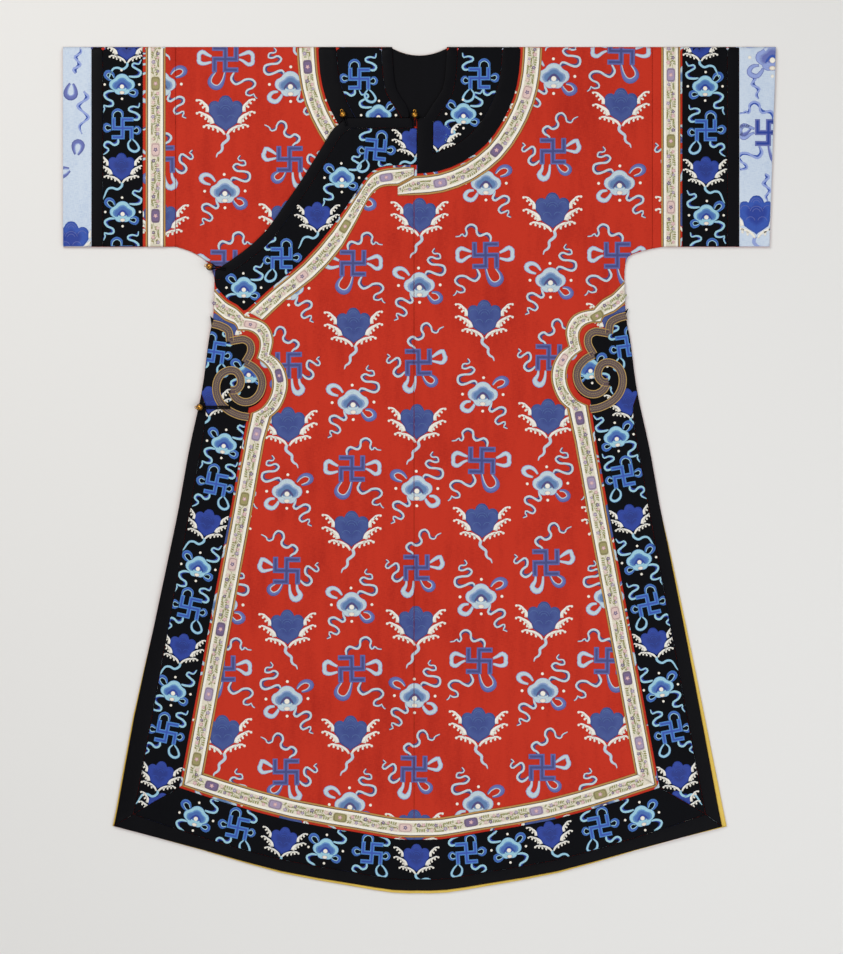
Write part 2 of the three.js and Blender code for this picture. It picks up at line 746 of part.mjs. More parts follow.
// Radius of the loop that rings the lower half of its ball, a gap away from it
const loopStep = 3.4; // length of one facet of a loop
const eye = Math.sqrt((buttonRadius + loopRadius + 1.5 * gap) ** 2 - (buttonRadius - loopRadius) ** 2);
const spread = loopRadius + gap; // half the distance between the loop's two strands
const neck = eye * 1.6; // where the strands come together
const section = new THREE.Shape(
  Array.from({ length: 6 }, (_, i) => point(loopRadius, 0).rotateAround(point(0, 0), (i * Math.PI) / 3)),
);
for (const { name, x, y, turn, length, over } of fastenings) {
  const way = THREE.MathUtils.degToRad(turn);
  const top = (px, py) => gridHeight(onFront, px, py) + trim + gap + over;
  // The eye and the ball sit level, clear of the cloth all round; the strands follow the cloth.
  const quarters = [0, 1, 2, 3].map((i) => point(eye, 0).rotateAround(point(0, 0), (i * Math.PI) / 2));
  const base = Math.max(...quarters.map((p) => top(x + p.x, y + p.y)));
  const place = (along, across) => {
    const px = x + along * Math.cos(way) - across * Math.sin(way);
    const py = y + along * Math.sin(way) + across * Math.cos(way);
    const height = along > 2 * eye ? top(px, py) : base;
    return new THREE.Vector3(px, py, height + loopRadius);
  };
  const eyeStart = 0.75; // angle at which the strands leave the eye
  const round = [];
  for (let i = 0; i <= 8; i++) {
    const angle = eyeStart + ((2 * Math.PI - 2 * eyeStart) * i) / 8;
    round.push(place(eye * Math.cos(angle), eye * Math.sin(angle)));
  }
  const strand = [length, 0.7 * length + 0.3 * neck, 0.3 * length + 0.7 * neck, neck];
  const path = new THREE.CatmullRomCurve3([
    ...strand.map((along) => place(along, spread)),
    ...round,
    ...reversed(strand).map((along) => place(along, -spread)),
  ]);
  const steps = Math.round(path.getLength() / loopStep);
  add(`loop_${name}`, "satin", new THREE.ExtrudeGeometry(section, { steps, extrudePath: path }));

  const ball = new THREE.SphereGeometry(buttonRadius, 12, 8);
  const shank = new THREE.TorusGeometry(2, 0.7, 5, 8);
  shank.translate(-(buttonRadius + 1) * Math.cos(way), -(buttonRadius + 1) * Math.sin(way), 0);
  const button = solid(ball).add(solid(shank));
  add(`button_${name}`, "gilt", button.translate([x, y, base + buttonRadius]));
}

export default robe;
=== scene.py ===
import bpy
import numpy as np
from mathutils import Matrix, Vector
from mathutils.geometry import delaunay_2d_cdt


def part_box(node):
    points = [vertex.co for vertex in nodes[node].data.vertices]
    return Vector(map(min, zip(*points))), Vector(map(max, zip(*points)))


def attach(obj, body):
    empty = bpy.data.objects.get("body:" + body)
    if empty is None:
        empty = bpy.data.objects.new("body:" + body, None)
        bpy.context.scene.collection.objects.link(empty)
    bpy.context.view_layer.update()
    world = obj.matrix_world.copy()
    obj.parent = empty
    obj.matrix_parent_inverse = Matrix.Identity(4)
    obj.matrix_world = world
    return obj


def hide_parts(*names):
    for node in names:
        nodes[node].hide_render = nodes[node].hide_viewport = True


# Informal court robe laid flat, front up. Shapes are worked out in millimetres and put into meshes in metres.
# Left and right are the wearer's: left is +X.
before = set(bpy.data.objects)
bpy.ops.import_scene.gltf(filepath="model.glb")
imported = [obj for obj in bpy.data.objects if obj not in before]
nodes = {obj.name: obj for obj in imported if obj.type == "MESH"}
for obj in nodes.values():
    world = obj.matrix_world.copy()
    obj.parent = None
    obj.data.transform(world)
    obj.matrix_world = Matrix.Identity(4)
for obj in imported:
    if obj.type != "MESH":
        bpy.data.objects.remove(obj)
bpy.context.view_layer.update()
metre = 0.001


# Camera, floor and light

photo = {"width": 843, "height": 954, "mmPerPixel": 1.65, "middleX": 419.5, "middleY": 470.0}
studio = {
    "lens": 85.0, "sensor": 36.0, "clip": 50.0, "sky": 0.33,
    "floorSize": 9.0, "floorZ": -0.0004, "floorRough": 0.9, "floorColour": (0.74, 0.735, 0.72, 1.0),
    "lamps": {
        "key": {"at": (-1.5, 1.9, 2.6), "size": 1.8, "watts": 62.0, "colour": (1.0, 0.97, 0.93)},
        "fill": {"at": (1.9, -0.6, 2.5), "size": 2.4, "watts": 34.0, "colour": (0.95, 0.97, 1.0)},
        "top": {"at": (0.2, -1.9, 3.0), "size": 2.4, "watts": 30.0, "colour": (1.0, 1.0, 1.0)},
    },
}


def atPhoto(px, py):
    # a place on the robe in mm, from a pixel of the photograph
    return ((px - photo["middleX"]) * photo["mmPerPixel"], (photo["middleY"] - py) * photo["mmPerPixel"])


def placed(name, data):
    thing = bpy.data.objects.new(name, data)
    bpy.context.collection.objects.link(thing)
    return thing


def newMaterial(name):
    # a material with its node tree and the inputs of its surface shader
    material = bpy.data.materials.new(name)
    material.use_nodes = True
    return material, material.node_tree, material.node_tree.nodes["Principled BSDF"].inputs


def makeStudio():
    camera = bpy.data.cameras.new("camera")
    camera.lens = studio["lens"]
    camera.sensor_width = studio["sensor"]
    camera.sensor_fit = "AUTO"
    camera.clip_end = studio["clip"]
    eye = placed("camera", camera)
    x, y = atPhoto(photo["width"] / 2, photo["height"] / 2)
    high = photo["height"] * photo["mmPerPixel"] / 2 / (studio["sensor"] / 2 / studio["lens"])
    eye.location = (x * metre, y * metre, high * metre)
    bpy.context.scene.camera = eye

    half = studio["floorSize"] / 2
    corners = [(-half, -half, 0), (half, -half, 0), (half, half, 0), (-half, half, 0)]
    plane = bpy.data.meshes.new("floor")
    plane.from_pydata(corners, [], [(0, 1, 2, 3)])
    floor = placed("floor", plane)
    floor.location.z = studio["floorZ"]
    paint, _, look = newMaterial("floorPaint")
    look["Base Color"].default_value = studio["floorColour"]
    look["Roughness"].default_value = studio["floorRough"]
    plane.materials.append(paint)

    for name, row in studio["lamps"].items():
        lamp = bpy.data.lights.new(name, "AREA")
        lamp.size = row["size"]
        lamp.energy = row["watts"]
        lamp.color = row["colour"]
        light = placed(name, lamp)
        light.location = row["at"]
        light.rotation_euler = (-Vector(row["at"])).to_track_quat("-Z", "Y").to_euler()
    world = bpy.data.worlds.new("studio")
    world.use_nodes = True
    sky = world.node_tree.nodes["Background"].inputs
    sky["Color"].default_value = (1, 1, 1, 1)
    sky["Strength"].default_value = studio["sky"]
    bpy.context.scene.world = world
    bpy.context.scene.view_settings.view_transform = "Standard"


# Heights of the layers, in mm

robe = {
    "cloth": 1.5, "trim": 1.0, "gap": 0.3,
    # the fold at the top, and the share of a height that is left at its edge
    "shoulderY": 698.0, "shoulderRound": 7.0, "flatEdge": 0.12,
    # where the neck facing and the under-flap end below another layer, and how wide the slope there is
    "facingX": (170, 50), "facingY": (440, 50), "flapX": (70, 65), "flapY": (-270, 60),
}

# largest soft folds, as in the solids: middle, direction in degrees, half length, half width and height
folds = [
    (-14, -390, 88, 230, 64, 2.8), (118, -372, 38, 150, 64, 2.4), (215, -420, 99, 200, 72, 3.0),
    (-225, -400, 80, 220, 72, 2.8), (60, 190, 96, 180, 70, 2.0), (-100, 60, 84, 200, 72, 2.2),
    (285, 450, 52, 110, 64, 2.4), (-285, 480, 128, 100, 64, 2.2),
]

# smaller creases on them, in the same order, placed where the photograph shows them
creases = [
    (-6, -505, 92, 90, 13, 1.1), (22, -440, 84, 120, 17, 0.8), (150, -330, 47, 60, 16, 0.9),
    (128, -520, 97, 70, 22, 0.9), (-120, -475, 83, 85, 20, 0.7), (-232, -300, 78, 110, 18, 0.8),
    (236, -250, 101, 120, 20, 0.8), (5, -120, 89, 150, 16, 0.7), (-64, 250, 4, 120, 15, 0.5),
    (120, 60, 172, 140, 17, 0.5), (90, -205, 8, 160, 15, 0.5), (300, 620, 84, 60, 12, 0.6),
    (-335, 600, 92, 80, 12, 0.7), (-352, 450, 78, 60, 12, 0.7), (350, 430, 112, 60, 12, 0.6),
    (500, 560, 88, 90, 18, 0.5), (-500, 500, 95, 100, 18, 0.6),
]


def softStep(t):
    t = np.clip(t, 0, 1)
    return t * t * (3 - 2 * t)


def ridges(rows, x, y):
    # sum of long rounded ridges: rise times the bell curve of the distances along and across each
    lift = np.zeros_like(x)
    for midX, midY, degrees, long, wide, rise in rows:
        turn = np.radians(degrees)
        along = ((x - midX) * np.cos(turn) + (y - midY) * np.sin(turn)) / long
        across = ((y - midY) * np.cos(turn) - (x - midX) * np.sin(turn)) / wide
        lift += rise * np.exp(-along * along - across * across)
    return lift


def onSurface(x, y):
    return np.zeros_like(x)


def onBack(x, y):
    return np.full_like(x, robe["cloth"] + robe["gap"])


def firstLayer(x, y):
    # the back, with the facing near the neck, and every fold and crease
    (edgeX, slopeX), (edgeY, slopeY) = robe["facingX"], robe["facingY"]
    room = softStep((edgeX - np.abs(x)) / slopeX) * softStep((y - edgeY) / slopeY)
    return onBack(x, y) + (robe["trim"] + robe["gap"]) * room + ridges(folds, x, y) + ridges(creases, x, y)


def secondLayer(x, y):
    # the first layer, raised where the under-flap lies
    (edgeX, slopeX), (edgeY, slopeY) = robe["flapX"], robe["flapY"]
    room = softStep((edgeX - x) / slopeX) * softStep((y - edgeY) / slopeY)
    return firstLayer(x, y) + (robe["cloth"] + robe["gap"]) * room


def shoulderFold(x, y, z):
    # heights close to the top fold are scaled by a quarter ellipse, so that all layers turn down together
    t = np.clip((y - robe["shoulderY"] + robe["shoulderRound"]) / robe["shoulderRound"], 0, 1)
    return z * np.maximum(np.sqrt(1 - t * t), robe["flatEdge"])


# Colours of the dyes, as sRGB, made linear

dyes = {
    "red": (187, 47, 28), "redDeep": (150, 26, 15),
    "black": (10, 11, 15), "blackDeep": (5, 5, 8), "satin": (4, 4, 6), "satinSheen": (9, 9, 13),
    "white": (236, 232, 220), "cream": (224, 212, 192), "pale": (164, 184, 220), "sky": (142, 158, 210),
    "mid": (98, 108, 172), "barEdge": (90, 98, 162), "barCore": (62, 66, 122), "shade": (72, 66, 118),
    "heart": (88, 120, 164), "rock": (60, 78, 140), "rockDeep": (52, 68, 132), "rockLine": (78, 104, 156),
    "seaGlass": (184, 202, 210), "seaPale": (150, 196, 212), "azurePale": (112, 164, 212),
    "azure": (74, 128, 194), "cobalt": (46, 80, 168), "royal": (32, 58, 146), "royalDeep": (26, 48, 128),
    "royalLine": (44, 76, 164), "heartBlue": (64, 102, 168),
    "gold": (176, 134, 70), "line": (84, 72, 62), "ribbon": (216, 208, 188), "olive": (150, 152, 98),
    "pink": (206, 164, 170), "mauve": (158, 142, 170), "violet": (112, 94, 130), "blush": (214, 186, 180),
    "sage": (158, 164, 124), "oliveDeep": (150, 142, 92),
    "braid": (146, 128, 90), "braidDeep": (96, 80, 58), "braidGold": (190, 156, 94),
    "braidScale": (96, 76, 84), "cuff": (196, 208, 222), "cuffDeep": (150, 172, 204),
    "lining": (214, 184, 78), "liningDeep": (188, 150, 54),
    "gilt": (205, 150, 62), "giltDeep": (120, 78, 30),
}


def dye(name):
    c = np.array(dyes[name]) / 255
    c = np.where(c <= 0.04045, c / 12.92, ((c + 0.055) / 1.055) ** 2.4)
    return (float(c[0]), float(c[1]), float(c[2]), 1.0)


# Outlines and meshes

shortestEdge = 0.35  # shorter edges of a solid's outline are left out


def outlineOf(name):
    # outer edge of a solid's upper side, anticlockwise, in mm: the edges of its upward faces that no second
    # upward face shares, chained into the loop with the largest area
    mesh = nodes[name].data
    mesh.calc_loop_triangles()
    points = np.empty(len(mesh.vertices) * 3)
    mesh.vertices.foreach_get("co", points)
    corners = np.empty(len(mesh.loop_triangles) * 3, dtype=np.int32)
    mesh.loop_triangles.foreach_get("vertices", corners)
    places, merged = np.unique(np.round(points.reshape(-1, 3) / metre, 2), axis=0, return_inverse=True)
    tris = merged.reshape(-1)[corners].reshape(-1, 3)
    a, b, c = places[tris[:, 0]], places[tris[:, 1]], places[tris[:, 2]]
    normal = np.cross(b - a, c - a)
    tris = tris[normal[:, 2] > 0.5 * np.linalg.norm(normal, axis=1)]
    rings = [places[loop][:, :2] for loop in freeLoops(tris, len(places))]
    best = max(rings, key=polygonArea)
    return best[np.linalg.norm(best - np.roll(best, -1, axis=0), axis=1) > shortestEdge]


def freeEdges(tris, count):
    # the edges that only one face has
    edges = np.concatenate([tris[:, [0, 1]], tris[:, [1, 2]], tris[:, [2, 0]]]).astype(np.int64)
    return edges[~np.isin(edges[:, 0] * count + edges[:, 1], edges[:, 1] * count + edges[:, 0])]


def freeLoops(tris, count):
    # loops of the free edges, each followed from point to point
    onward = {int(a): int(b) for a, b in freeEdges(tris, count)}
    loops = []
    while onward:
        start, at = onward.popitem()
        loop = [start]
        while at != start and at in onward:
            loop.append(at)
            at = onward.pop(at)
        if at == start and len(loop) > 2:
            loops.append(np.array(loop))
    return loops


def polygonArea(ring):
    nxt = np.roll(ring, -1, axis=0)
    return float(np.sum(ring[:, 0] * nxt[:, 1] - nxt[:, 0] * ring[:, 1]) / 2)


def crossOf(xy, tris):
    # twice each triangle's area, positive where it runs against the clock
    a, b, c = xy[tris[:, 0]], xy[tris[:, 1]], xy[tris[:, 2]]
    return (b[:, 0] - a[:, 0]) * (c[:, 1] - a[:, 1]) - (b[:, 1] - a[:, 1]) * (c[:, 0] - a[:, 0])


def inwardOf(edge):
    # unit vectors square to the outline at its points, towards its inside
    ahead = np.roll(edge, -1, axis=0) - np.roll(edge, 1, axis=0)
    return np.stack([-ahead[:, 1], ahead[:, 0]], axis=1) / np.linalg.norm(ahead, axis=1)[:, None]


def densified(ring, step):
    # the same outline with points added so that none is further than step from the next
    parts = []
    for a, b in zip(ring, np.roll(ring, -1, axis=0)):
        n = max(1, int(np.ceil(np.linalg.norm(b - a) / step)))
        parts.append(a + (b - a) * (np.arange(n) / n)[:, None])
    return np.concatenate(parts)


def inside(ring, points):
    # even-odd count of the outline's edges that lie to the right of each point
    x, y = points[:, 0][:, None], points[:, 1][:, None]
    x0, y0 = ring[:, 0], ring[:, 1]
    x1, y1 = np.roll(x0, -1), np.roll(y0, -1)
    spans = (y0 > y) != (y1 > y)
    with np.errstate(divide="ignore", invalid="ignore"):
        crossX = x0 + (y - y0) * (x1 - x0) / (y1 - y0)
    return np.sum(spans & (x < crossX), axis=1) % 2 == 1


def nearestOn(ring, points):
    # nearest place on the outline to each point, and how far away it is
    a = ring
    d = np.roll(ring, -1, axis=0) - a
    length = np.maximum(np.sum(d * d, axis=1), 1e-9)
    best = np.full(len(points), np.inf)
    place = np.zeros_like(points)
    for start in range(0, len(points), 4000):
        block = points[start:start + 4000]
        t = np.clip(np.einsum("pei,ei->pe", block[:, None] - a[None], d) / length, 0, 1)
        foot = a[None] + t[..., None] * d[None]
        far = np.linalg.norm(block[:, None] - foot, axis=2)
        pick = np.argmin(far, axis=1)
        rows = np.arange(len(block))
        best[start:start + 4000] = far[rows, pick]
        place[start:start + 4000] = foot[rows, pick]
    return place, best


# a cloth's edge: width and depth of its rounding, and rows of points near the shoulder fold
lip = {"wide": 1.3, "drop": 0.4, "foldRows": (2.6, 4.4, 7.2), "foldClear": 1.4}


def filled(ring, step):
    # a square lattice inside the outline and a row of points just inside its edge, triangulated with it
    edge = densified(ring, step)
    row = edge + inwardOf(edge) * lip["wide"]
    low, high = ring.min(axis=0), ring.max(axis=0)
    gx, gy = np.meshgrid(*[np.arange(low[k] + step / 2, high[k], step) for k in (0, 1)])
    lattice = np.stack([gx.ravel(), gy.ravel()], axis=1)
    lattice = lattice[inside(ring, lattice)]
    lattice = lattice[nearestOn(edge, lattice)[1] > max(0.6 * step, lip["wide"] + 0.5)]
    extra = [row[inside(ring, row) & (nearestOn(ring, row)[1] > 0.8 * lip["wide"])], lattice]
    if high[1] > robe["shoulderY"] - 1:
        for back in lip["foldRows"]:
            across = np.arange(low[0] + 1, high[0], step)
            fold = np.stack([across, np.full_like(across, robe["shoulderY"] - back)], axis=1)
            extra.append(fold[inside(ring, fold) & (nearestOn(ring, fold)[1] > lip["foldClear"])])
    points = [Vector(p) for p in np.concatenate([edge] + extra)]
    verts, _, faces, _, _, _ = delaunay_2d_cdt(points, [], [list(range(len(edge)))], 1, 1e-5)
    xy = np.array([(v.x, v.y) for v in verts])
    tris = np.array([f for f in faces if len(f) == 3], dtype=np.int64)
    turn = crossOf(xy, tris)
    tris[turn < 0] = tris[turn < 0][:, ::-1]
    return xy, tris[np.abs(turn) > 1e-6]


def closedShell(xy, tris, bottom, top):
    # the sheet at its top heights, the same sheet turned over at its bottom heights, and walls between
    n = len(xy)
    points = np.concatenate([np.column_stack([xy, top]), np.column_stack([xy, bottom])])
    a, b = freeEdges(tris, n).T
    walls = np.concatenate([np.column_stack([b, a, a + n]), np.column_stack([b, a + n, b + n])])
    return points, np.concatenate([tris, tris[:, ::-1] + n, walls])


def joined(shells):
    # shells of points, faces and colours as one; a shell's lower points have its upper points' colours
    starts = np.cumsum([0] + [len(points) for points, _, _ in shells])
    faces = [tris + start for (_, tris, _), start in zip(shells, starts)]
    tints = [np.tile(tint, (2, 1)) for _, _, tint in shells]
    return np.concatenate([points for points, _, _ in shells]), np.concatenate(faces), np.concatenate(tints)


def meshFrom(name, points, faces, fabric, colours=None):
    mesh = bpy.data.meshes.new(name)
    mesh.vertices.add(len(points))
    mesh.vertices.foreach_set("co", (points * metre).astype(np.float32).ravel())
    mesh.loops.add(len(faces) * 3)
    mesh.loops.foreach_set("vertex_index", faces.astype(np.int32).ravel())
    mesh.polygons.add(len(faces))
    mesh.polygons.foreach_set("loop_start", np.arange(0, len(faces) * 3, 3, dtype=np.int32))
    mesh.polygons.foreach_set("loop_total", np.full(len(faces), 3, dtype=np.int32))
    mesh.update(calc_edges=True)
    if colours is not None:
        layer = mesh.color_attributes.new("dye", "FLOAT_COLOR", "POINT")
        layer.data.foreach_set("color", colours.astype(np.float32).ravel())
    mesh.polygons.foreach_set("use_smooth", np.full(len(faces), True))
    mesh.validate()
    mesh.materials.append(fabrics[fabric])
    return placed(name, mesh)


def declared(piece, node=None):
    # each piece rides the one body, and a dressed solid stands in for its node
    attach(piece, "root")
    if node:
        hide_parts(node)
    return piece


# Shader groups shared by the fabrics

def newGroup(name, inputs, outputs):
    group = bpy.data.node_groups.new(name, "ShaderNodeTree")
    for label, default in inputs.items():
        kind = "NodeSocketColor" if isinstance(default, tuple) else "NodeSocketFloat"
        group.interface.new_socket(label, in_out="INPUT", socket_type=kind).default_value = default
    for label, kind in outputs.items():
        group.interface.new_socket(label, in_out="OUTPUT", socket_type=kind)
    return group, group.nodes.new("NodeGroupInput"), group.nodes.new("NodeGroupOutput")


def given(tree, socket, value):
    # a link into a socket, or its own value
    if hasattr(value, "is_linked"):
        tree.links.new(value, socket)
    elif value is not None:
        socket.default_value = value


def maths(tree, kind, a, b=None, clamp=False):
    node = tree.nodes.new("ShaderNodeMath")
    node.operation = kind
    node.use_clamp = clamp
    for socket, value in zip(node.inputs, (a, b)):
        given(tree, socket, value)
    return node.outputs[0]


def mixed(tree, factor, a, b, blend="MIX"):
    node = tree.nodes.new("ShaderNodeMix")
    node.data_type = "RGBA"
    node.blend_type = blend
    for label, value in (("Factor", factor), ("A", a), ("B", b)):
        given(tree, node.inputs[label], value)
    return node.outputs["Result"]


def noiseAt(tree, vector, detail, rough):
    noise = tree.nodes.new("ShaderNodeTexNoise")
    noise.inputs["Scale"].default_value = 1.0
    noise.inputs["Detail"].default_value = detail
    noise.inputs["Roughness"].default_value = rough
    tree.links.new(vector, noise.inputs["Vector"])
    return noise.outputs["Fac"]


def stretched(tree, scale, detail, rough):
    # noise on Object coordinates, scaled by its own amount along each axis
    place = tree.nodes.new("ShaderNodeTexCoord")
    mapping = tree.nodes.new("ShaderNodeMapping")
    mapping.inputs["Scale"].default_value = scale
    tree.links.new(place.outputs["Object"], mapping.inputs["Vector"])
    return noiseAt(tree, mapping.outputs[0], detail, rough)


def surfaced(tree, look, colour, height, bump, values):
    # colour, bump strength and depth, and the shader's other values by the names of their sockets
    raised = tree.nodes.new("ShaderNodeBump")
    raised.inputs["Strength"].default_value = bump[0]
    raised.inputs["Distance"].default_value = bump[1]
    tree.links.new(height, raised.inputs["Height"])
    tree.links.new(raised.outputs[0], look["Normal"])
    tree.links.new(colour, look["Base Color"])
    for label, value in values.items():
        look[label].default_value = value


threads = {
    "along": 130.0,  # how fast a thread changes along itself
    # two slow noises, and their shares of the unevenness
    "clouds": (9.0, 6.0, 1.0), "cloudShare": 0.65, "slubs": (70.0, 9.0, 1.0), "slubShare": 0.35,
    # how the unevenness turns into a share of the deeper dye, and that dye beside the colour itself
    "contrast": -4.0, "base": 0.12, "deeper": (0.62, 0.62, 0.66, 1.0),
    "depth": 0.0003, "sheenRough": 0.4,
}
gilding = {
    "grain": (420.0, 420.0, 420.0), "worn": 0.36, "bright": 0.56, "bump": (0.35, 0.0004), "rough": 0.34,
}


def makeWeave():
    # warp and weft threads as fine stretched noise, slubs, and slow unevenness of the dye
    group, source, result = newGroup(
        "weave",
        {"Warp": 1500.0, "Weft": 900.0, "Grain": 0.25, "Mottle": 0.3, "Colour": (1.0, 1.0, 1.0, 1.0),
         "Deep": (0.5, 0.5, 0.5, 1.0)},
        {"Colour": "NodeSocketColor", "Height": "NodeSocketFloat"},
    )

    def do(kind, a, b, clamp=False):
        return maths(group, kind, a, b, clamp)

    place = group.nodes.new("ShaderNodeTexCoord")
    split = group.nodes.new("ShaderNodeSeparateXYZ")
    group.links.new(place.outputs["Object"], split.inputs[0])
    fine = []
    for across, along, label in (("X", "Y", "Warp"), ("Y", "X", "Weft")):
        pair = group.nodes.new("ShaderNodeCombineXYZ")
        group.links.new(do("MULTIPLY", split.outputs[across], source.outputs[label]), pair.inputs[0])
        group.links.new(do("MULTIPLY", split.outputs[along], threads["along"]), pair.inputs[1])
        fine.append(noiseAt(group, pair.outputs[0], 1.0, 0.5))
    both = do("MULTIPLY", do("ADD", *fine), 0.5)
    clouds = stretched(group, threads["clouds"], 3.0, 0.6)
    slubs = stretched(group, threads["slubs"], 2.0, 0.5)
    slow = do("ADD", do("MULTIPLY", clouds, threads["cloudShare"]),
              do("MULTIPLY", slubs, threads["slubShare"]))
    grainy = do("MULTIPLY", do("SUBTRACT", both, 0.5), source.outputs["Grain"])
    mottled = do("MULTIPLY", do("SUBTRACT", slow, 0.5), source.outputs["Mottle"])
    share = do("MULTIPLY", do("ADD", grainy, mottled), threads["contrast"])
    share = do("ADD", share, threads["base"], clamp=True)
    colour = mixed(group, share, source.outputs["Colour"], source.outputs["Deep"])
    group.links.new(colour, result.inputs["Colour"])
    group.links.new(both, result.inputs["Height"])


def cloth(name, colour, deep, rough, bump, fromDye=False, sheen=0.0, specular=0.3, **values):
    # a fabric: the weave group over one colour, or over the colours kept in the mesh's dye attribute
    material, tree, look = newMaterial(name)
    node = tree.nodes.new("ShaderNodeGroup")
    node.node_tree = bpy.data.node_groups["weave"]
    for label, value in {"Colour": dye(colour), "Deep": dye(deep), **values}.items():
        node.inputs[label].default_value = value
    if fromDye:
        read = tree.nodes.new("ShaderNodeAttribute")
        read.attribute_name = "dye"
        tree.links.new(read.outputs["Color"], node.inputs["Colour"])
        darker = mixed(tree, 1.0, read.outputs["Color"], threads["deeper"], "MULTIPLY")
        tree.links.new(darker, node.inputs["Deep"])
    surfaced(tree, look, node.outputs["Colour"], node.outputs["Height"], (bump, threads["depth"]), {
        "Roughness": rough, "Specular IOR Level": specular, "Sheen Weight": sheen,
        "Sheen Roughness": threads["sheenRough"],
    })
    return material


def makeGilt():
    # worn gilding: brighter on the raised grain, brown where it has rubbed away
    material, tree, look = newMaterial("gilt")
    wear = stretched(tree, gilding["grain"], 4.0, 0.6)
    ramp = tree.nodes.new("ShaderNodeValToRGB")
    ends = ((gilding["worn"], "giltDeep"), (gilding["bright"], "gilt"))
    for stop, (position, colour) in zip(ramp.color_ramp.elements, ends):
        stop.position = position
        stop.color = dye(colour)
    tree.links.new(wear, ramp.inputs["Fac"])
    surfaced(tree, look, ramp.outputs["Color"], wear, gilding["bump"],
             {"Metallic": 1.0, "Roughness": gilding["rough"]})
    return material


makeStudio()
print("studio made")
makeWeave()
fabrics = {
    "silk": cloth("redKesi", "red", "redDeep", 0.72, 0.5, sheen=0.02, specular=0.12, Grain=0.42, Mottle=0.6),
    "band": cloth("blackKesi", "black", "blackDeep", 0.75, 0.5, specular=0.06, Grain=0.5, Mottle=0.4),
    "satin": cloth("blackSatin", "satinSheen", "satin", 0.5, 0.25, specular=0.06, Warp=2600.0, Weft=500.0),
    "cuff": cloth("cuffKesi", "cuff", "cuffDeep", 0.55, 0.5, sheen=0.05, Grain=0.5, Mottle=0.35),
    "lining": cloth("yellowLining", "lining", "liningDeep", 0.45, 0.35, sheen=0.05),
    "braid": cloth("brownBraid", "braid", "braidDeep", 0.55, 0.9, fromDye=True, Warp=900.0, Weft=900.0),
    "pattern": cloth("patternSilk", "pale", "mid", 0.55, 0.5, fromDye=True, sheen=0.05, Grain=0.4,
                     Mottle=0.15),
    "ribbon": cloth("flowerRibbon", "ribbon", "gold", 0.5, 0.6, fromDye=True, Grain=0.3, Mottle=0.15),
    "gilt": makeGilt(),
}
print("materials made")


# Cloth pieces: each follows its solid's outline between its layer's heights

# what a layer lies on, its height above that, and its thickness
layers = {
    "surface": (onSurface, 0.0, robe["cloth"]),
    "flap": (firstLayer, 0.0, robe["cloth"]),
    "front": (secondLayer, 0.0, robe["cloth"]),
    "backTrim": (onSurface, robe["cloth"] + robe["gap"], robe["trim"]),
    "flapTrim": (firstLayer, robe["cloth"] + robe["gap"], robe["trim"]),
    "frontTrim": (secondLayer, robe["cloth"] + robe["gap"], robe["trim"]),
    "scrollTrim": (secondLayer, robe["cloth"] + 2 * robe["gap"] + robe["trim"], robe["trim"]),
}
# each piece's layer, fabric and step of its lattice in mm
pieces = {
    "back_body": ("surface", "silk", 20),
    "front_left": ("front", "silk", 8), "front_overlap": ("front", "silk", 8),
    "under_flap": ("flap", "silk", 9),
    "sleeve_left": ("flap", "silk", 7), "sleeve_right": ("flap", "silk", 7),
}
edgings = ("collar_left", "collar_right", "neck_right", "lapel", "side_left", "side_right", "hem",
           "sleeve_left", "sleeve_right")
edgingStep = 9
onFlap = ("collar_right", "neck_right", "sleeve_left", "sleeve_right")  # edgings that the fronts don't carry


def layerOf(name):
    # the layer that a piece lies in; bands, bindings and ribbons go by the second half of their names
    if name in pieces:
        return pieces[name][0]
    if name.startswith("scroll"):
        return "scrollTrim"
    return "flapTrim" if name.split("_", 1)[1] in onFlap else "frontTrim"


for look in ("band", "satin"):
    for name in (look + "_" + place for place in edgings):
        if name in nodes:
            pieces[name] = (layerOf(name), look, edgingStep)
pieces["neck_facing"] = ("backTrim", "satin", 8)
for name in ("cuff_left", "cuff_right"):
    pieces[name] = ("flapTrim", "cuff", 7)
for name in ("lining_side_left", "lining_side_right", "lining_hem"):
    pieces[name] = ("backTrim", "lining", 7)
tubes = ("sleeve_left", "sleeve_right")
lined = ("back_body",)
outlines = {name: outlineOf(name) for name in nodes if not name.startswith(("button", "loop"))}
print("outlines read:", len(outlines))


def heightsOf(layer, xy):
    # bottom and top of a layer at each point, drawn together at the shoulder fold
    function, lift, thick = layers[layer]
    x, y = xy[:, 0], xy[:, 1]
    bottom = function(x, y) + lift
    top = bottom + thick
    return shoulderFold(x, y, bottom), shoulderFold(x, y, top)


def rounded(xy, tris, bottom, top):
    # edge points drawn in from both faces, so that the cloth's edge is soft
    rim = np.unique(np.concatenate(freeLoops(tris, len(xy))))
    drop = np.minimum(lip["drop"], 0.3 * (top - bottom)[rim])
    top[rim] -= drop
    bottom[rim] += 0.4 * drop
    return bottom, top


def clothPiece(name):
    layer, look, step = pieces[name]
    xy, tris = filled(outlines[name], step)
    points, faces = closedShell(xy, tris, *rounded(xy, tris, *heightsOf(layer, xy)))
    if name in tubes:
        # the sleeve's lower wall, a second sheet flat on the table
        wall, wallFaces = closedShell(xy, tris, *rounded(xy, tris, *heightsOf("surface", xy)))
        points, faces = np.concatenate([points, wall]), np.concatenate([faces, wallFaces + len(points)])
    piece = meshFrom("cloth_" + name, points, faces, look)
    if name in lined:
        # the inner side, the first faces of the shell, shows the lining
        piece.data.materials.append(fabrics["lining"])
        inner = (np.arange(len(piece.data.polygons)) < len(tris)).astype(np.int32)
        piece.data.polygons.foreach_set("material_index", inner)
    return declared(piece, name)


made = {name: clothPiece(name) for name in pieces}
print("cloth pieces made:", len(made))


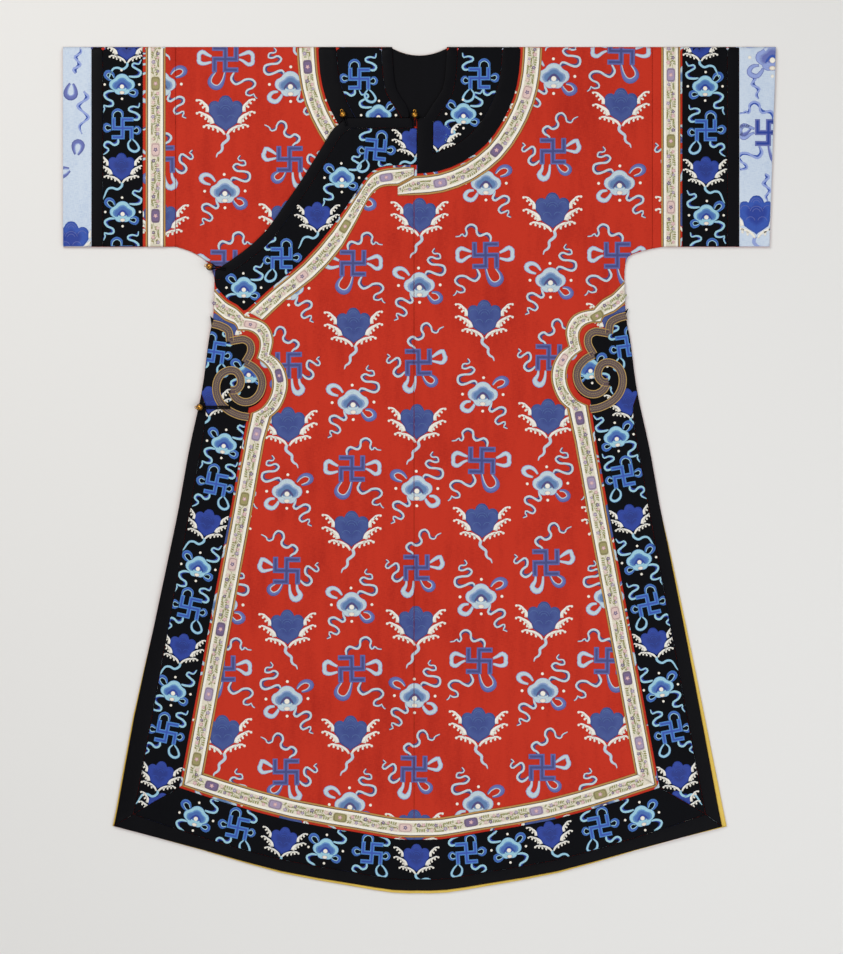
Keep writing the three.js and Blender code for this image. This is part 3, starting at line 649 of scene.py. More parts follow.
# Woven motifs, in mm round their own middle. A part is a flat mesh with a colour at each point.

toneKeys = ("rim", "pale", "soft", "mid", "dark", "edge", "core", "rock", "rockDeep", "rockLine", "heart")
tones = {place: dict(zip(toneKeys, row)) for place, row in {
    "onRed": ("seaGlass", "pale", "sky", "mid", "shade", "barEdge", "barCore", "rock", "rockDeep", "rockLine",
              "heart"),
    "onBlack": ("seaPale", "azurePale", "azure", "cobalt", "royal", "azure", "cobalt", "royal", "royalDeep",
                "royalLine", "heartBlue"),
    "onBlue": ("sky", "sky", "mid", "mid", "cobalt", "mid", "royal", "cobalt", "royal", "mid", "mid"),
}.items()}


def gridTris(rows, columns, closed=False):
    # two triangles for each cell of a grid of points numbered row by row
    i = np.arange(rows - 1)[:, None]
    j = np.arange(columns if closed else columns - 1)[None, :]
    k = (j + 1) % columns
    a, b, c, d = i * columns + j, i * columns + k, (i + 1) * columns + k, (i + 1) * columns + j
    return np.concatenate([np.stack([a, b, c], -1).reshape(-1, 3), np.stack([a, c, d], -1).reshape(-1, 3)])


def facingUp(part):
    turn = crossOf(part["xy"], part["tris"])
    tris = np.where((turn < 0)[:, None], part["tris"][:, ::-1], part["tris"])
    part["tris"] = tris[np.abs(turn) > 1e-4]
    return part


def reachOf(line):
    # how far along the line each point lies
    return np.concatenate([[0], np.cumsum(np.linalg.norm(np.diff(line, axis=0), axis=1))])


def lengthOf(line):
    return np.sum(np.linalg.norm(np.diff(line, axis=0), axis=1))


def headings(path):
    # unit vectors along the line at its points
    way = np.gradient(path, axis=0)
    return way / np.maximum(np.linalg.norm(way, axis=1), 1e-6)[:, None]


def spun(x, y, turn):
    # points turned round the origin by an angle in radians
    return np.stack([x * np.cos(turn) - y * np.sin(turn), x * np.sin(turn) + y * np.cos(turn)], axis=1)


def evenly(line, count, axes=2):
    # the same line in equal steps, measured along its first two or three columns
    reach = reachOf(line[:, :axes])
    at = np.linspace(0, reach[-1], count)
    return np.stack([np.interp(at, reach, line[:, k]) for k in range(line.shape[1])], axis=1)


def smoothLine(rows, step):
    # a Catmull-Rom line through a few charted places, in even steps
    p = np.array(rows, float)
    q = np.concatenate([[2 * p[0] - p[1]], p, [2 * p[-1] - p[-2]]])
    t = np.linspace(0, 1, 11)[:-1, None]
    runs = []
    for a, b, c, d in zip(q, q[1:], q[2:], q[3:]):
        runs.append(0.5 * (2 * b + (c - a) * t + (2 * a - 5 * b + 4 * c - d) * t ** 2
                           + (3 * b - a - 3 * c + d) * t ** 3))
    line = np.concatenate(runs + [p[-1:]])
    return evenly(line, max(3, int(lengthOf(line[:, :2]) / step) + 1))


def strip(path, offsets, colours, level):
    # the path moved sideways by each column's offset, with one colour for each column
    way = headings(path)
    side = np.stack([-way[:, 1], way[:, 0]], axis=1)
    points = path[:, None, :] + side[:, None, :] * offsets[:, :, None]
    tint = np.broadcast_to(np.array([dye(c) for c in colours]), (len(path), len(colours), 4))
    return facingUp({
        "xy": points.reshape(-1, 2), "tris": gridTris(len(path), len(colours)), "dye": tint.reshape(-1, 4),
        "level": level,
    })


def swath(line, shares, colours, level):
    # a strip along rows of x, y and half width, with columns at shares of the half width
    return strip(line[:, :2], line[:, 2:] * np.array(shares, float), colours, level)


# full is the bend, in radians to the mm, at which a fold is at its widest; least is a fold's width elsewhere
tailShape = {
    "step": 3.4, "half": 1.75, "fold": 3.6, "taper": 0.55, "foldTaper": 0.45, "full": 0.11, "least": 0.03,
    "seam": 0.08,
}


def tail(tone, rows, slim=1.0):
    # a floating ribbon end: a pale edge, with its dark back showing inside each bend, and a thin tip
    path = smoothLine(rows, tailShape["step"])
    way = np.gradient(path, axis=0)
    turning = np.gradient(np.unwrap(np.arctan2(way[:, 1], way[:, 0]))) / tailShape["step"]
    bend = np.convolve(np.pad(turning, 1, mode="edge"), [0.25, 0.5, 0.25], "valid")
    s = np.linspace(0, 1, len(path))
    thin = tailShape["half"] * slim * (1 - tailShape["taper"] * s ** 3) * (0.75 + 0.25 * softStep(s / 0.1))
    curl = np.clip(np.abs(bend) / tailShape["full"], 0, 1) ** 0.8
    full = tailShape["fold"] * curl * (1 - tailShape["foldTaper"] * s)
    least, seam = tailShape["least"], tailShape["seam"]
    full = np.maximum(np.minimum(full, 0.9 / (np.abs(bend) + 1e-3) - thin), least)
    left, right = np.where(bend > 0, full, least), np.where(bend < 0, full, least)
    offsets = np.stack([-thin - right, -thin - seam, -thin, thin, thin + seam, thin + left], axis=1)
    look = [tone[c] for c in ("dark", "dark", "rim", "rim", "dark", "dark")]
    return strip(path, offsets, look, 0)


loopShape = {"step": 3.5, "rim": 1.5, "rimShare": 0.8, "seam": 0.15}


def loop(tone, rows, look="pale"):
    # a bow's loop through charted places, each with its half width; a blue one has a pale inner edge
    line = smoothLine(rows, loopShape["step"])
    if look == "pale":
        return swath(line, (-1, -0.5, 0.5, 1), [tone[c] for c in ("soft", "rim", "rim", "soft")], 1)
    path, half = line[:, :2], line[:, 2:]
    closed = np.concatenate([path, path[:1]])
    turn = np.sum(closed[:-1, 0] * closed[1:, 1] - closed[1:, 0] * closed[:-1, 1])
    lit = np.minimum(loopShape["rim"], loopShape["rimShare"] * half)
    offsets = np.concatenate([half, half - lit, half - lit - loopShape["seam"], 0 * half, -half], axis=1)
    colours = [tone[c] for c in ("rim", "rim", "mid", "mid", "edge")]
    return strip(path, offsets * (1.0 if turn > 0 else -1.0), colours, 1)


def disc(colours, at, radii, level, squeeze=1.0, sides=12):
    # rings of points round a middle, each with its own colour
    t = np.linspace(0, 2 * np.pi, sides, endpoint=False)
    ring = np.stack([np.cos(t), np.sin(t) * squeeze], axis=1)
    return blob(ring, colours, at, radii, level)


def blob(outline, colours, middle, shares, level):
    # copies of an outline drawn in towards a middle point by each share, and the middle itself as a fan
    n, rings = len(outline), len(shares)
    xy = np.concatenate([np.array(middle) + outline * share for share in shares] + [[middle]])
    tint = np.repeat(np.array([dye(c) for c in colours]), [n] * rings + [1], axis=0)
    last = (rings - 1) * n + np.arange(n)
    fan = np.column_stack([last, (rings - 1) * n + (np.arange(n) + 1) % n, np.full(n, rings * n)])
    return facingUp({"xy": xy, "tris": np.concatenate([gridTris(rings, n, closed=True), fan]), "dye": tint,
                     "level": level})


def lobes(circles, middle, sides):
    # along each ray from the middle, the farthest crossing with any of the overlapping circles
    t = np.linspace(0, 2 * np.pi, sides, endpoint=False) + np.pi / 2
    ray = np.stack([np.cos(t), np.sin(t)], axis=1)
    reach = np.zeros(sides)
    for cx, cy, r in circles:
        to = np.array([cx, cy]) - np.array(middle)
        along = ray @ to
        inner = along ** 2 - (to @ to - r * r)
        reach = np.maximum(reach, np.where(inner > 0, along + np.sqrt(np.maximum(inner, 0)), 0))
    return ray * reach[:, None]


def mirrored(part):
    return facingUp({**part, "xy": part["xy"] * np.array([-1, 1])})


# The crossed bars with bent ends, an old textile sign; loops hold x, y and half width in mm
wan = {
    "reach": 18, "arm": 18, "half": 4.2, "core": 1.4, "blend": 1.1,
    "odd": {
        "tails": [
            [(8, 22), (9, 30), (3, 36), (-9, 32), (-14, 37), (-15, 47), (-24, 51), (-32, 45), (-30, 36),
             (-34, 31), (-38, 36), (-42, 32), (-49, 31)],
            [(-15, -22), (-12, -27), (-10, -34), (-17, -42), (-26, -39), (-34, -34), (-45, -34), (-51, -41),
             (-46, -48), (-37, -52), (-35, -59), (-43, -61), (-48, -58), (-50, -63), (-54, -66)],
        ],
        "loops": [
            ("pale", [(-23, 6, 1.8), (-31, 9, 2.8), (-40, 12, 3.6), (-46, 7, 3.7), (-46, 0, 3.2),
                      (-46, -6, 3.8), (-39, -9, 3.3), (-30, -3, 2.4), (-23, 0, 1.7)]),
            ("pale", [(23, 4, 1.9), (31, 8, 2.9), (38, 12, 3.8), (44, 8, 3.8), (44, 1, 3.5), (44, -5, 4.0),
                      (36, -8, 3.0), (23, -5, 1.9)]),
            ("blue", [(0, -22, 1.8), (3, -35, 2.7), (8, -45, 4.1), (15, -48, 4.6), (22, -45, 4.4),
                      (26, -39, 3.8), (24, -31, 2.8), (17, -22, 1.9)]),
        ],
    },
    "even": {
        "tails": [
            [(5, 22), (8, 26), (14, 29), (17, 36), (9, 42), (1, 37), (-7, 40), (-9, 46), (-5, 53), (-7, 61),
             (-15, 64), (-21, 58), (-23, 50), (-31, 48), (-34, 54), (-42, 58)],
            [(22, -15), (28, -21), (35, -23), (41, -17), (38, -10), (31, -5), (30, 3), (34, 8), (41, 4),
             (48, -1), (52, 2), (50, 7), (46, 10), (51, 14)],
        ],
        "loops": [
            ("pale", [(-22, 8, 1.8), (-32, 15, 3.1), (-40, 18, 3.6), (-42, 12, 3.4), (-44, 6, 4.0),
                      (-39, -1, 3.4), (-31, 0, 2.4), (-22, 2, 1.7)]),
            ("pale", [(17, -22, 1.7), (18, -30, 2.6), (23, -39, 4.4), (17, -46, 5.0), (10, -44, 4.2),
                      (6, -34, 2.5), (5, -22, 1.6)]),
            ("blue", [(-6, -21, 1.5), (-10, -30, 2.2), (-15, -36, 3.2), (-22, -38, 3.7), (-28, -33, 3.8),
                      (-27, -26, 3.2), (-17, -20, 1.8)]),
        ],
    },
    "band": {
        "tails": [
            [(20, 18), (30, 17), (34, 24), (26, 31), (14, 35), (13, 41), (22, 44), (32, 42), (34, 51)],
            [(-9, -21), (-9, -30), (-17, -34), (-26, -28), (-34, -28), (-37, -36), (-28, -42), (-31, -48),
             (-39, -53)],
        ],
        "loops": [
            ("blue", [(-20, 20, 1.6), (-19, 31, 2.8), (-10, 37, 3.2), (-1, 32, 2.8), (0, 21, 1.6)]),
            ("blue", [(-23, 4, 1.6), (-32, 8, 3.0), (-38, 2, 3.6), (-32, -6, 3.0), (-23, -3, 1.6)]),
            ("blue", [(22, -2, 1.4), (29, 3, 2.4), (35, -4, 3.0), (30, -11, 2.4), (22, -9, 1.4)]),
            ("pale", [(17, -22, 1.4), (11, -31, 2.0), (14, -42, 2.6), (25, -47, 2.8), (33, -41, 2.5),
                      (28, -30, 2.0), (20, -22, 1.4)]),
        ],
    },
}


def bars(tone, level):
    # cells of a square lattice within half a bar of the centre lines, coloured by their distance from them
    r, arm, half, core = wan["reach"], wan["arm"], wan["half"], wan["core"]
    lines = [((0, -r), (0, r)), ((-r, 0), (r, 0)), ((0, r), (arm, r)), ((r, 0), (r, -arm)),
             ((0, -r), (-arm, -r)), ((-r, 0), (-r, arm))]
    steps = [-half, -core - wan["blend"], -core, core, core + wan["blend"], half]
    ends = {sign * (arm + s) for sign in (-1, 1) for s in (core, half)}
    cuts = sorted({round(base + s, 3) for base in (-r, 0, r) for s in steps} | ends)
    gx, gy = np.meshgrid(cuts, cuts)

    def distance(x, y):
        away = np.full(x.shape, 1e9)
        for (x0, y0), (x1, y1) in lines:
            dx = np.maximum(np.maximum(min(x0, x1) - x, x - max(x0, x1)), 0)
            dy = np.maximum(np.maximum(min(y0, y1) - y, y - max(y0, y1)), 0)
            away = np.minimum(away, np.maximum(dx, dy))
        return away

    mx, my = [(g[:-1, :-1] + g[1:, 1:]) / 2 for g in (gx, gy)]
    cell = np.tile((distance(mx, my) < half - 1e-6).ravel(), 2)
    atCore = (distance(gx, gy) < core + 0.2).reshape(-1, 1)
    tint = np.where(atCore, np.array(dye(tone["core"])), np.array(dye(tone["edge"])))
    used, packed = np.unique(gridTris(len(cuts), len(cuts))[cell], return_inverse=True)
    xy = np.stack([gx.ravel(), gy.ravel()], axis=1)[used]
    return facingUp({"xy": xy, "tris": packed.reshape(-1, 3), "dye": tint[used], "level": level})


def wanMotif(tone, form, slim):
    parts = [tail(tone, rows, slim) for rows in form["tails"]]
    return parts + [loop(tone, rows, look) for look, rows in form["loops"]] + [bars(tone, 2)]


# A rock with three domes between plumes of foam; rows hold x, y and half width, hooks two places
rock = {
    "outline": [(0, 29), (5, 28), (9, 24), (11, 20), (12, 18), (15, 20), (20, 20), (24, 18),
                (27, 14), (28, 9), (28, 2), (25, -3), (20, -9), (18, -17), (11, -22), (3, -27),
                (0, -30)],
    "arcs": [(0, 17, 5), (0, 17, 8.2), (0, 3, 6), (0, 3, 10), (17, 7, 7), (-17, 7, 7), (9, -10, 7),
             (-9, -10, 7)],
    "arcEnds": (12, 168), "arcHalf": 0.42, "hookShare": 0.78, "hookBend": (0.5, 0.6),
    "hookHalf": (2.2, 1.6, 1.4), "tipAt": (0.6, -0.7), "hookTip": 2.05,
    "plumes": [
        {"rows": [(30, 2, 2.9), (30, 10, 2.7), (35, 16, 2.2), (40, 21, 1.6), (46, 22, 1.3)], "tip": 2.3,
         "hooks": [((37, 18), (42, 15)), ((32, 12), (38, 9))]},
        {"rows": [(22, -17, 4.0), (24, -10, 3.5), (29, -5, 2.7), (36, -1, 2.0), (42, 2, 1.5),
                  (46, 1, 1.2)], "tip": 2.3,
         "hooks": [((37, 0), (40, -5)), ((30, -5), (34, -10)), ((26, -10), (29, -14))]},
        {"rows": [(2, -35, 1.6), (6, -29, 2.1), (12, -25, 2.3), (18, -22, 2.1), (24, -21, 1.9),
                  (30, -19, 1.6), (35, -21, 1.4)], "tip": 2.4,
         "hooks": [((27, -20), (28, -25)), ((20, -21), (21, -28)), ((13, -25), (13, -31))]},
    ],
    "stem": [(-2, -33, 2.6), (-4, -41, 2.6), (0, -46, 2.5), (6, -51, 2.4), (6, -58, 2.2), (9, -63, 1.9),
             (14, -66, 1.5), (16, -72, 0.8)],
    "bandStem": [(-1, -33, 2.6), (-1, -41, 2.6), (8, -48, 2.5), (19, -45, 2.4), (28, -47, 2.2),
                 (33, -55, 1.9), (36, -63, 1.5), (40, -70, 0.8)],
}


def rockMotif(tone, stemRows):
    half = np.array(rock["outline"], float)
    outline = np.concatenate([half, half[-2:0:-1] * np.array([-1, 1])])
    colours = [tone["rock"]] * 3 + [tone["rockDeep"]] * 3
    parts = [blob(outline, colours, (0, 0), (1.0, 0.86, 0.66, 0.45, 0.24), 0)]
    t = np.linspace(*np.radians(rock["arcEnds"]), 6)
    for x, y, r in rock["arcs"]:
        line = np.stack([x + r * np.cos(t), y + r * np.sin(t), np.full(len(t), rock["arcHalf"])], axis=1)
        parts.append(swath(line, (-1, 1), [tone["rockLine"]] * 2, 1))
    parts.append(swath(smoothLine(stemRows, 2.6), (-1, -0.6, 0.6, 1),
                       [tone[c] for c in ("pale", "rim", "rim", "pale")], 1))
    foam, share = [], rock["hookShare"]
    for row in rock["plumes"]:
        line = smoothLine(row["rows"], 3.6)
        foam.append(swath(line, (-1, 0.72, 1), ["white", "white", "pale"], 2))
        tip = line[-1, :2] + np.array(rock["tipAt"])
        foam.append(disc(["white", "white"], tip, (row["tip"],), 3, sides=7))
        for base, tip in np.array(row["hooks"], float):
            end = base * (1 - share) + tip * share
            path = np.array([base, base * 0.35 + end * 0.65 + rock["hookBend"], end])
            foam.append(swath(np.column_stack([path, rock["hookHalf"]]), (-1, 1), ["white", "white"], 2))
            foam.append(disc(["white", "white"], end, (rock["hookTip"],), 3, sides=6))
    return parts + foam + [mirrored(part) for part in foam]


# A lobed cloud jewel with a pearl, between four dots
medallion = {
    "circles": [(0, 6, 15.4), (-15, 0, 10.6), (15, 0, 10.6), (-6, -10, 10), (6, -10, 10)],
    "inner": [(0, 2, 10), (-10, -2, 7.4), (10, -2, 7.4)],
    "arch": [(-10, -8, 1.2), (-7, -3, 2.2), (0, 2, 2.8), (7, -3, 2.2), (10, -8, 1.2)],
    "cup": [(-8, -7, 1.3), (-6, -10, 1.8), (0, -11, 2.1), (6, -10, 1.8), (8, -7, 1.3)],
    "dots": [(1, 28), (-34, 0), (34, 0), (0, -28)],
    "middle": (0, -1), "innerMiddle": (0, -1.5), "pearl": (0, -4.2), "drop": (0, -16.0), "dropSquash": 0.66,
    "ground": {
        "tails": [
            [(-10, 17), (-12, 22), (-18, 22), (-27, 18), (-36, 16), (-42, 21), (-41, 30), (-32, 33),
             (-20, 34), (-14, 41), (-20, 46), (-28, 43), (-35, 44), (-33, 51), (-25, 51), (-22, 55),
             (-26, 60)],
            [(15, -12), (14, -18), (11, -25), (15, -29), (22, -25), (30, -21), (38, -24), (37, -32),
             (27, -37), (21, -44), (25, -50), (31, -48), (37, -45), (38, -50), (35, -54), (42, -57)],
        ],
        "loops": [
            ("blue", [(16, 16, 1.6), (22, 24, 2.8), (30, 28, 3.5), (38, 26, 4.1), (40, 20, 4.2),
                      (34, 14, 2.8), (24, 11, 1.7)]),
            ("pale", [(-20, -12, 1.8), (-29, -13, 2.9), (-35, -20, 3.8), (-32, -26, 4.0), (-23, -28, 3.7),
                      (-16, -21, 2.8), (-14, -16, 1.8)]),
        ],
    },
    "band": {
        "tails": [
            [(-13, 16), (-24, 15), (-34, 17), (-37, 25), (-28, 31), (-20, 36), (-23, 42), (-33, 40),
             (-38, 49)],
            [(15, -13), (26, -13), (35, -19), (30, -28), (19, -33), (18, -41), (27, -43), (36, -41),
             (34, -48), (38, -56)],
        ],
        "loops": [
            ("blue", [(15, 13, 1.6), (19, 22, 3.0), (28, 25, 3.8), (33, 18, 3.6), (26, 10, 2.4),
                      (20, 8, 1.6)]),
            ("blue", [(-15, -13, 1.6), (-22, -10, 2.6), (-29, -14, 3.4), (-26, -22, 3.4), (-18, -21, 2.6),
                      (-12, -16, 1.6)]),
        ],
    },
}


def medallionMotif(tone, form, slim, swap):
    parts = [tail(tone, rows, slim) for rows in form["tails"]]
    looks = [look for look, rows in form["loops"]]
    parts += [loop(tone, rows, look)
              for look, (_, rows) in zip(looks[::-1] if swap else looks, form["loops"])]
    middle, innerMiddle = medallion["middle"], medallion["innerMiddle"]
    outline = lobes(medallion["circles"], middle, 32)
    inner = lobes(medallion["inner"], innerMiddle, 24)
    parts.append(blob(outline, [tone["soft"]] + [tone["rim"]] * 4, middle, (1.0, 0.94, 0.7, 0.4), 2))
    parts.append(blob(inner, [tone["pale"]] + [tone["heart"]] * 3, innerMiddle, (1.12, 0.86, 0.45), 3))
    for rows, colours, level in ((medallion["arch"], ("heart", "dark", "dark", "heart"), 4),
                                 (medallion["cup"], ("rim", "rim", "rim", "rim"), 5)):
        parts.append(swath(smoothLine(rows, 2.0), (-1, -0.55, 0.55, 1), [tone[c] for c in colours], level))
    parts.append(disc(["cream", "white", "white"], medallion["pearl"], (4.3, 3.3), 6))
    parts.append(disc([tone["soft"], "cream", "white"], medallion["drop"], (5.6, 4.2), 6,
                      squeeze=medallion["dropSquash"]))
    for at in medallion["dots"]:
        parts.append(disc(["cream", "white", "white"], at, (2.5, 1.8), 3, sides=10))
    return parts


def motif(kind, place, tone, swap):
    # kind is wan, wanEven, rock or medallion; place is ground or band
    look = tones[tone]
    slim = 1.0 if place == "ground" else 1.15
    if kind == "rock":
        return rockMotif(look, rock["stem" if place == "ground" else "bandStem"])
    if kind == "medallion":
        return medallionMotif(look, medallion[place], slim, swap)
    form = "band" if place == "band" else "even" if kind == "wanEven" else "odd"
    return wanMotif(look, wan[form], slim)


motifCache = {}


def placedMotif(kind, place, tone, x, y, flip=1, scale=1.0, turn=0.0, swap=False):
    # a motif flipped, scaled, turned and moved to its place on the robe
    key = (kind, place, tone, swap)
    if key not in motifCache:
        motifCache[key] = motif(*key)
    a = np.radians(turn)
    spin = np.array([[np.cos(a), np.sin(a)], [-np.sin(a), np.cos(a)]])
    parts = []
    for part in motifCache[key]:
        xy = (part["xy"] * np.array([flip * scale, scale])) @ spin + np.array([x, y])
        parts.append(facingUp({**part, "xy": xy}))
    return parts


def clipped(part, ring):
    # points outside the outline are drawn to its edge, and faces wholly outside are left out
    xy = part["xy"]
    low, high = xy.min(axis=0), xy.max(axis=0)
    if (high < ring.min(axis=0)).any() or (low > ring.max(axis=0)).any():
        return None
    outside = ~inside(ring, xy)
    if not outside.any():
        return part
    if outside.all():
        return None
    kept = part["tris"][~outside[part["tris"]].all(axis=1)]
    moved = xy.copy()
    moved[outside] = nearestOn(ring, xy[outside])[0]
    if not len(kept):
        return None
    used, packed = np.unique(kept, return_inverse=True)
    cut = facingUp({"xy": moved[used], "tris": packed.reshape(-1, 3), "dye": part["dye"][used],
                    "level": part["level"]})
    return cut if len(cut["tris"]) else None


def clippedAll(parts, ring):
    cuts = [clipped(part, ring) for part in parts]
    return [cut for cut in cuts if cut]


woven = {"lift": 0.1, "levelStep": 0.04, "sunk": 0.06, "inset": 0.7, "groundInset": 0.25, "spacing": 8}


def inset(ring, d):
    edge = densified(ring, woven["spacing"])
    return edge + inwardOf(edge) * d


def patternPiece(name, base, parts, fabric):
    # parts lying on one cloth piece, joined in one mesh of thin closed shells on the cloth's top
    shells = []
    for part in parts:
        top = heightsOf(layerOf(base), part["xy"])[1]
        high = top + woven["lift"] + woven["levelStep"] * part["level"]
        shells.append((*closedShell(part["xy"], part["tris"], top - woven["sunk"], high), part["dye"]))
    points, faces, tints = joined(shells)
    return declared(meshFrom(name, points, faces, fabric, tints))


# Where the motifs lie, in pixels of the photograph

ground = {
    "column": 64.4, "middle": 416.0,
    "even": {"wanEven": (158, 364, 569, 770), "rock": (15, 217, 423, 625, 828),
             "medallion": (83, 287, 490, 697)},
    "odd": {"wan": (58, 262, 467, 667, 868), "rock": (112, 324, 527, 731), "medallion": (190, 401, 603, 803)},
    "columns": (-5, -4, -3, -2, -1, 0, 1, 2, 3, 4, 5),
    "hiddenBelowFlap": 300,  # the under-flap is covered by the overlap below this
    # how much the columns spread towards the shoulders, more on the wearer's left, less on the right
    "spread": 3, "spreadFrom": 600, "spreadOver": 340, "spreadLeft": 1.6, "spreadRight": 0.6,
    # how far columns stand up or down, and where the left front's rows come down again
    "middleUp": -1.5, "rightDown": 1.5, "leftUp": -6.5, "leftDown": 7, "leftFrom": 740, "leftOver": 60,
    # unevenness of the weaving, in pixels, of size and in degrees to the pixel
    "wobble": 0.6, "sizeWobble": 0.02, "turnWobble": 1.4,
    "swapBelow": 400,  # the middle column's jewels have their loops the other way round below this
}
motifReach = 78  # from a motif's middle to its farthest tip


def drift(k, py):
    # how far a motif of column k stands from the even lattice, in pixels
    side = ground["spreadRight"] if k < 0 else 1
    wide = ground["spread"] + ground["spreadLeft"] * max(k, 0)
    spread = (ground["spreadFrom"] - py) / ground["spreadOver"] * wide * side
    if k > 0:
        down = softStep((py - ground["leftFrom"]) / ground["leftOver"])
        return spread, ground["leftUp"] + ground["leftDown"] * down
    return spread, ground["middleUp"] if k == 0 else ground["rightDown"]


def groundMotifs():
    rows = []
    for k in ground["columns"]:
        side = 1 if k >= 0 else -1
        for kind, places in ground["even" if k % 2 == 0 else "odd"].items():
            flip = side if k % 2 else -side
            for py in places:
                wobble = ground["wobble"] * np.sin(k * 2.3 + py * 0.071)
                dx, dy = drift(k, py)
                x, y = atPhoto(ground["middle"] + ground["column"] * k + dx + wobble, py + dy)
                scale = 1 + ground["sizeWobble"] * np.sin(k * 1.7 + py * 0.053)
                swap = (flip < 0) != (k == 0 and py > ground["swapBelow"])
                rows.append((kind, x, y, flip, scale, ground["turnWobble"] * wobble, swap))
    return rows


def groundPattern(name, flap=False):
    ring = inset(outlines[name], woven["groundInset"])
    parts = []
    for kind, x, y, flip, scale, turn, swap in groundMotifs():
        if flap and (y < atPhoto(0, ground["hiddenBelowFlap"])[1] or x > -motifReach):
            continue
        near = nearestOn(ring, np.array([[x, y]]))[1][0]
        if near > motifReach and not inside(ring, np.array([[x, y]]))[0]:
            continue
        parts += clippedAll(placedMotif(kind, "ground", "onRed", x, y, flip, scale, turn, swap), ring)
    return patternPiece("pattern_" + name, name, parts, "pattern")


groundPanels = ("front_left", "front_overlap", "under_flap", "sleeve_left", "sleeve_right")
groundWoven = {name: groundPattern(name, flap=name == "under_flap") for name in groundPanels}
print("ground pattern woven")

# on the black bands: kind, pixel, 1 or -1 for mirrored, and turn in degrees against the clock
bandSizes = {"wan": 0.82, "rock": 0.78, "medallion": 0.84}
bandMotifs = {
    "band_sleeve_right": [("rock", 127, 47, -1, 0), ("medallion", 122.4, 85, -1, 0),
                          ("wan", 123, 128.7, 1, 0), ("rock", 121.8, 167, -1, 0),
                          ("medallion", 123, 212.3, -1, 0), ("wan", 122, 257, 1, 0)],
    "band_sleeve_left": [("rock", 700, 45, 1, 0), ("medallion", 704.8, 86.8, 1, 0),
                         ("wan", 705.5, 130.6, -1, 0), ("rock", 705.5, 170.5, 1, 0),
                         ("medallion", 706, 215.6, 1, 0), ("wan", 707, 258, -1, 0)],
    "band_side_right": [("wan", 214.5, 352, 1, -8), ("medallion", 249, 373, -1, 0), ("rock", 209, 400, -1, 0),
                        ("medallion", 224.4, 444, -1, -11), ("wan", 216.5, 484, 1, -11),
                        ("rock", 207.6, 522.6, -1, -12), ("medallion", 198.7, 566.7, -1, -10),
                        ("wan", 190, 607.5, 1, -12), ("rock", 182.7, 647, -1, -10),
                        ("medallion", 173.7, 691, -1, -10), ("wan", 167, 732, 1, -11),
                        ("rock", 160.4, 774.4, -1, -10), ("rock", 161, 806, -1, -12)],
    "band_side_left": [("wan", 627, 346, -1, 8), ("medallion", 590, 369, 1, 8), ("rock", 628, 402, 1, 10),
                       ("medallion", 616.2, 437, 1, 9), ("wan", 623, 476, -1, 10),
                       ("rock", 630.5, 517.6, 1, 10), ("medallion", 638.8, 560, 1, 10),
                       ("wan", 648, 604.2, -1, 12), ("rock", 654, 641, 1, 10),
                       ("medallion", 660.6, 687, 1, 10), ("wan", 671.5, 731, -1, 11),
                       ("rock", 678.5, 774.4, 1, 8), ("rock", 677.4, 804, 1, 8)],
    "band_hem": [("medallion", 196.6, 816.3, -1, -14), ("wan", 238, 827.2, 1, -12),
                 ("rock", 283.8, 840, -1, -10), ("medallion", 325.8, 848.6, -1, -7),
                 ("wan", 372, 852.5, 1, -4), ("rock", 416.4, 857, 1, 0), ("wan", 466.4, 852.5, -1, 4),
                 ("medallion", 508.6, 847.8, 1, 7), ("rock", 550, 834, 1, 9), ("wan", 599.3, 826, -1, 11),
                 ("medallion", 641.8, 815.8, 1, 13)],
    "band_collar_left": [("wan", 479.3, 78.8, -1, 0), ("medallion", 463.4, 114.5, -1, 0),
                         ("rock", 438, 135, 1, 0)],
    "band_collar_right": [("wan", 359.4, 79.4, 1, 0), ("medallion", 378.6, 115.8, 1, 0)],
    "band_lapel": [("rock", 414.8, 141, -1, 0), ("wan", 375.7, 150.2, -1, -5),
                   ("medallion", 342, 178.3, -1, 0), ("rock", 317.4, 216, -1, 0),
                   ("wan", 281.8, 258.5, -1, 0), ("medallion", 244.1, 288, -1, 0)],
}


def bandPattern(name):
    ring = inset(outlines[name], woven["inset"])
    parts = []
    for kind, px, py, flip, turn in bandMotifs[name]:
        found = placedMotif(kind, "band", "onBlack", *atPhoto(px, py), flip, bandSizes[kind], turn)
        parts += clippedAll(found, ring)
    return patternPiece("pattern_" + name, name, parts, "pattern")


bandWoven = {name: bandPattern(name) for name in bandMotifs}
print("band patterns woven")

# on the pale cuffs: single darker pieces of the same motifs, larger. A loop or a tail has its pixel, heading
# and length, any other its pixel, 1 or -1 for mirrored, and its size.
cuffMotifs = {
    "cuff_right": [("loop", 72, 84, 265, 24), ("loop", 77, 155, 80, 22), ("tail", 76, 74, 80, 44),
                   ("tail", 84, 92, 268, 70), ("loop", 70, 170, 200, 20), ("rock", 71.6, 240, 1, 1.05)],
    "cuff_left": [("medallion", 772, 58, 1, 1.1), ("tail", 752, 76, 285, 40), ("wan", 768, 133, 1, 1.0),
                  ("loop", 750, 128, 200, 20), ("tail", 765, 174, 275, 46), ("rock", 756, 215, 1, 1.1)],
}
# both drawn along the x axis for a length of 1
cuffShapes = {
    "loop": [(0, -0.1, 0.08), (0.4, -0.3, 0.13), (0.8, -0.32, 0.17), (1.0, 0, 0.18), (0.8, 0.32, 0.17),
             (0.4, 0.3, 0.13), (0, 0.1, 0.08)],
    "tail": [(0, 0), (0.15, 0.12), (0.35, -0.14), (0.6, 0.15), (0.8, -0.08), (1.0, 0)],
}


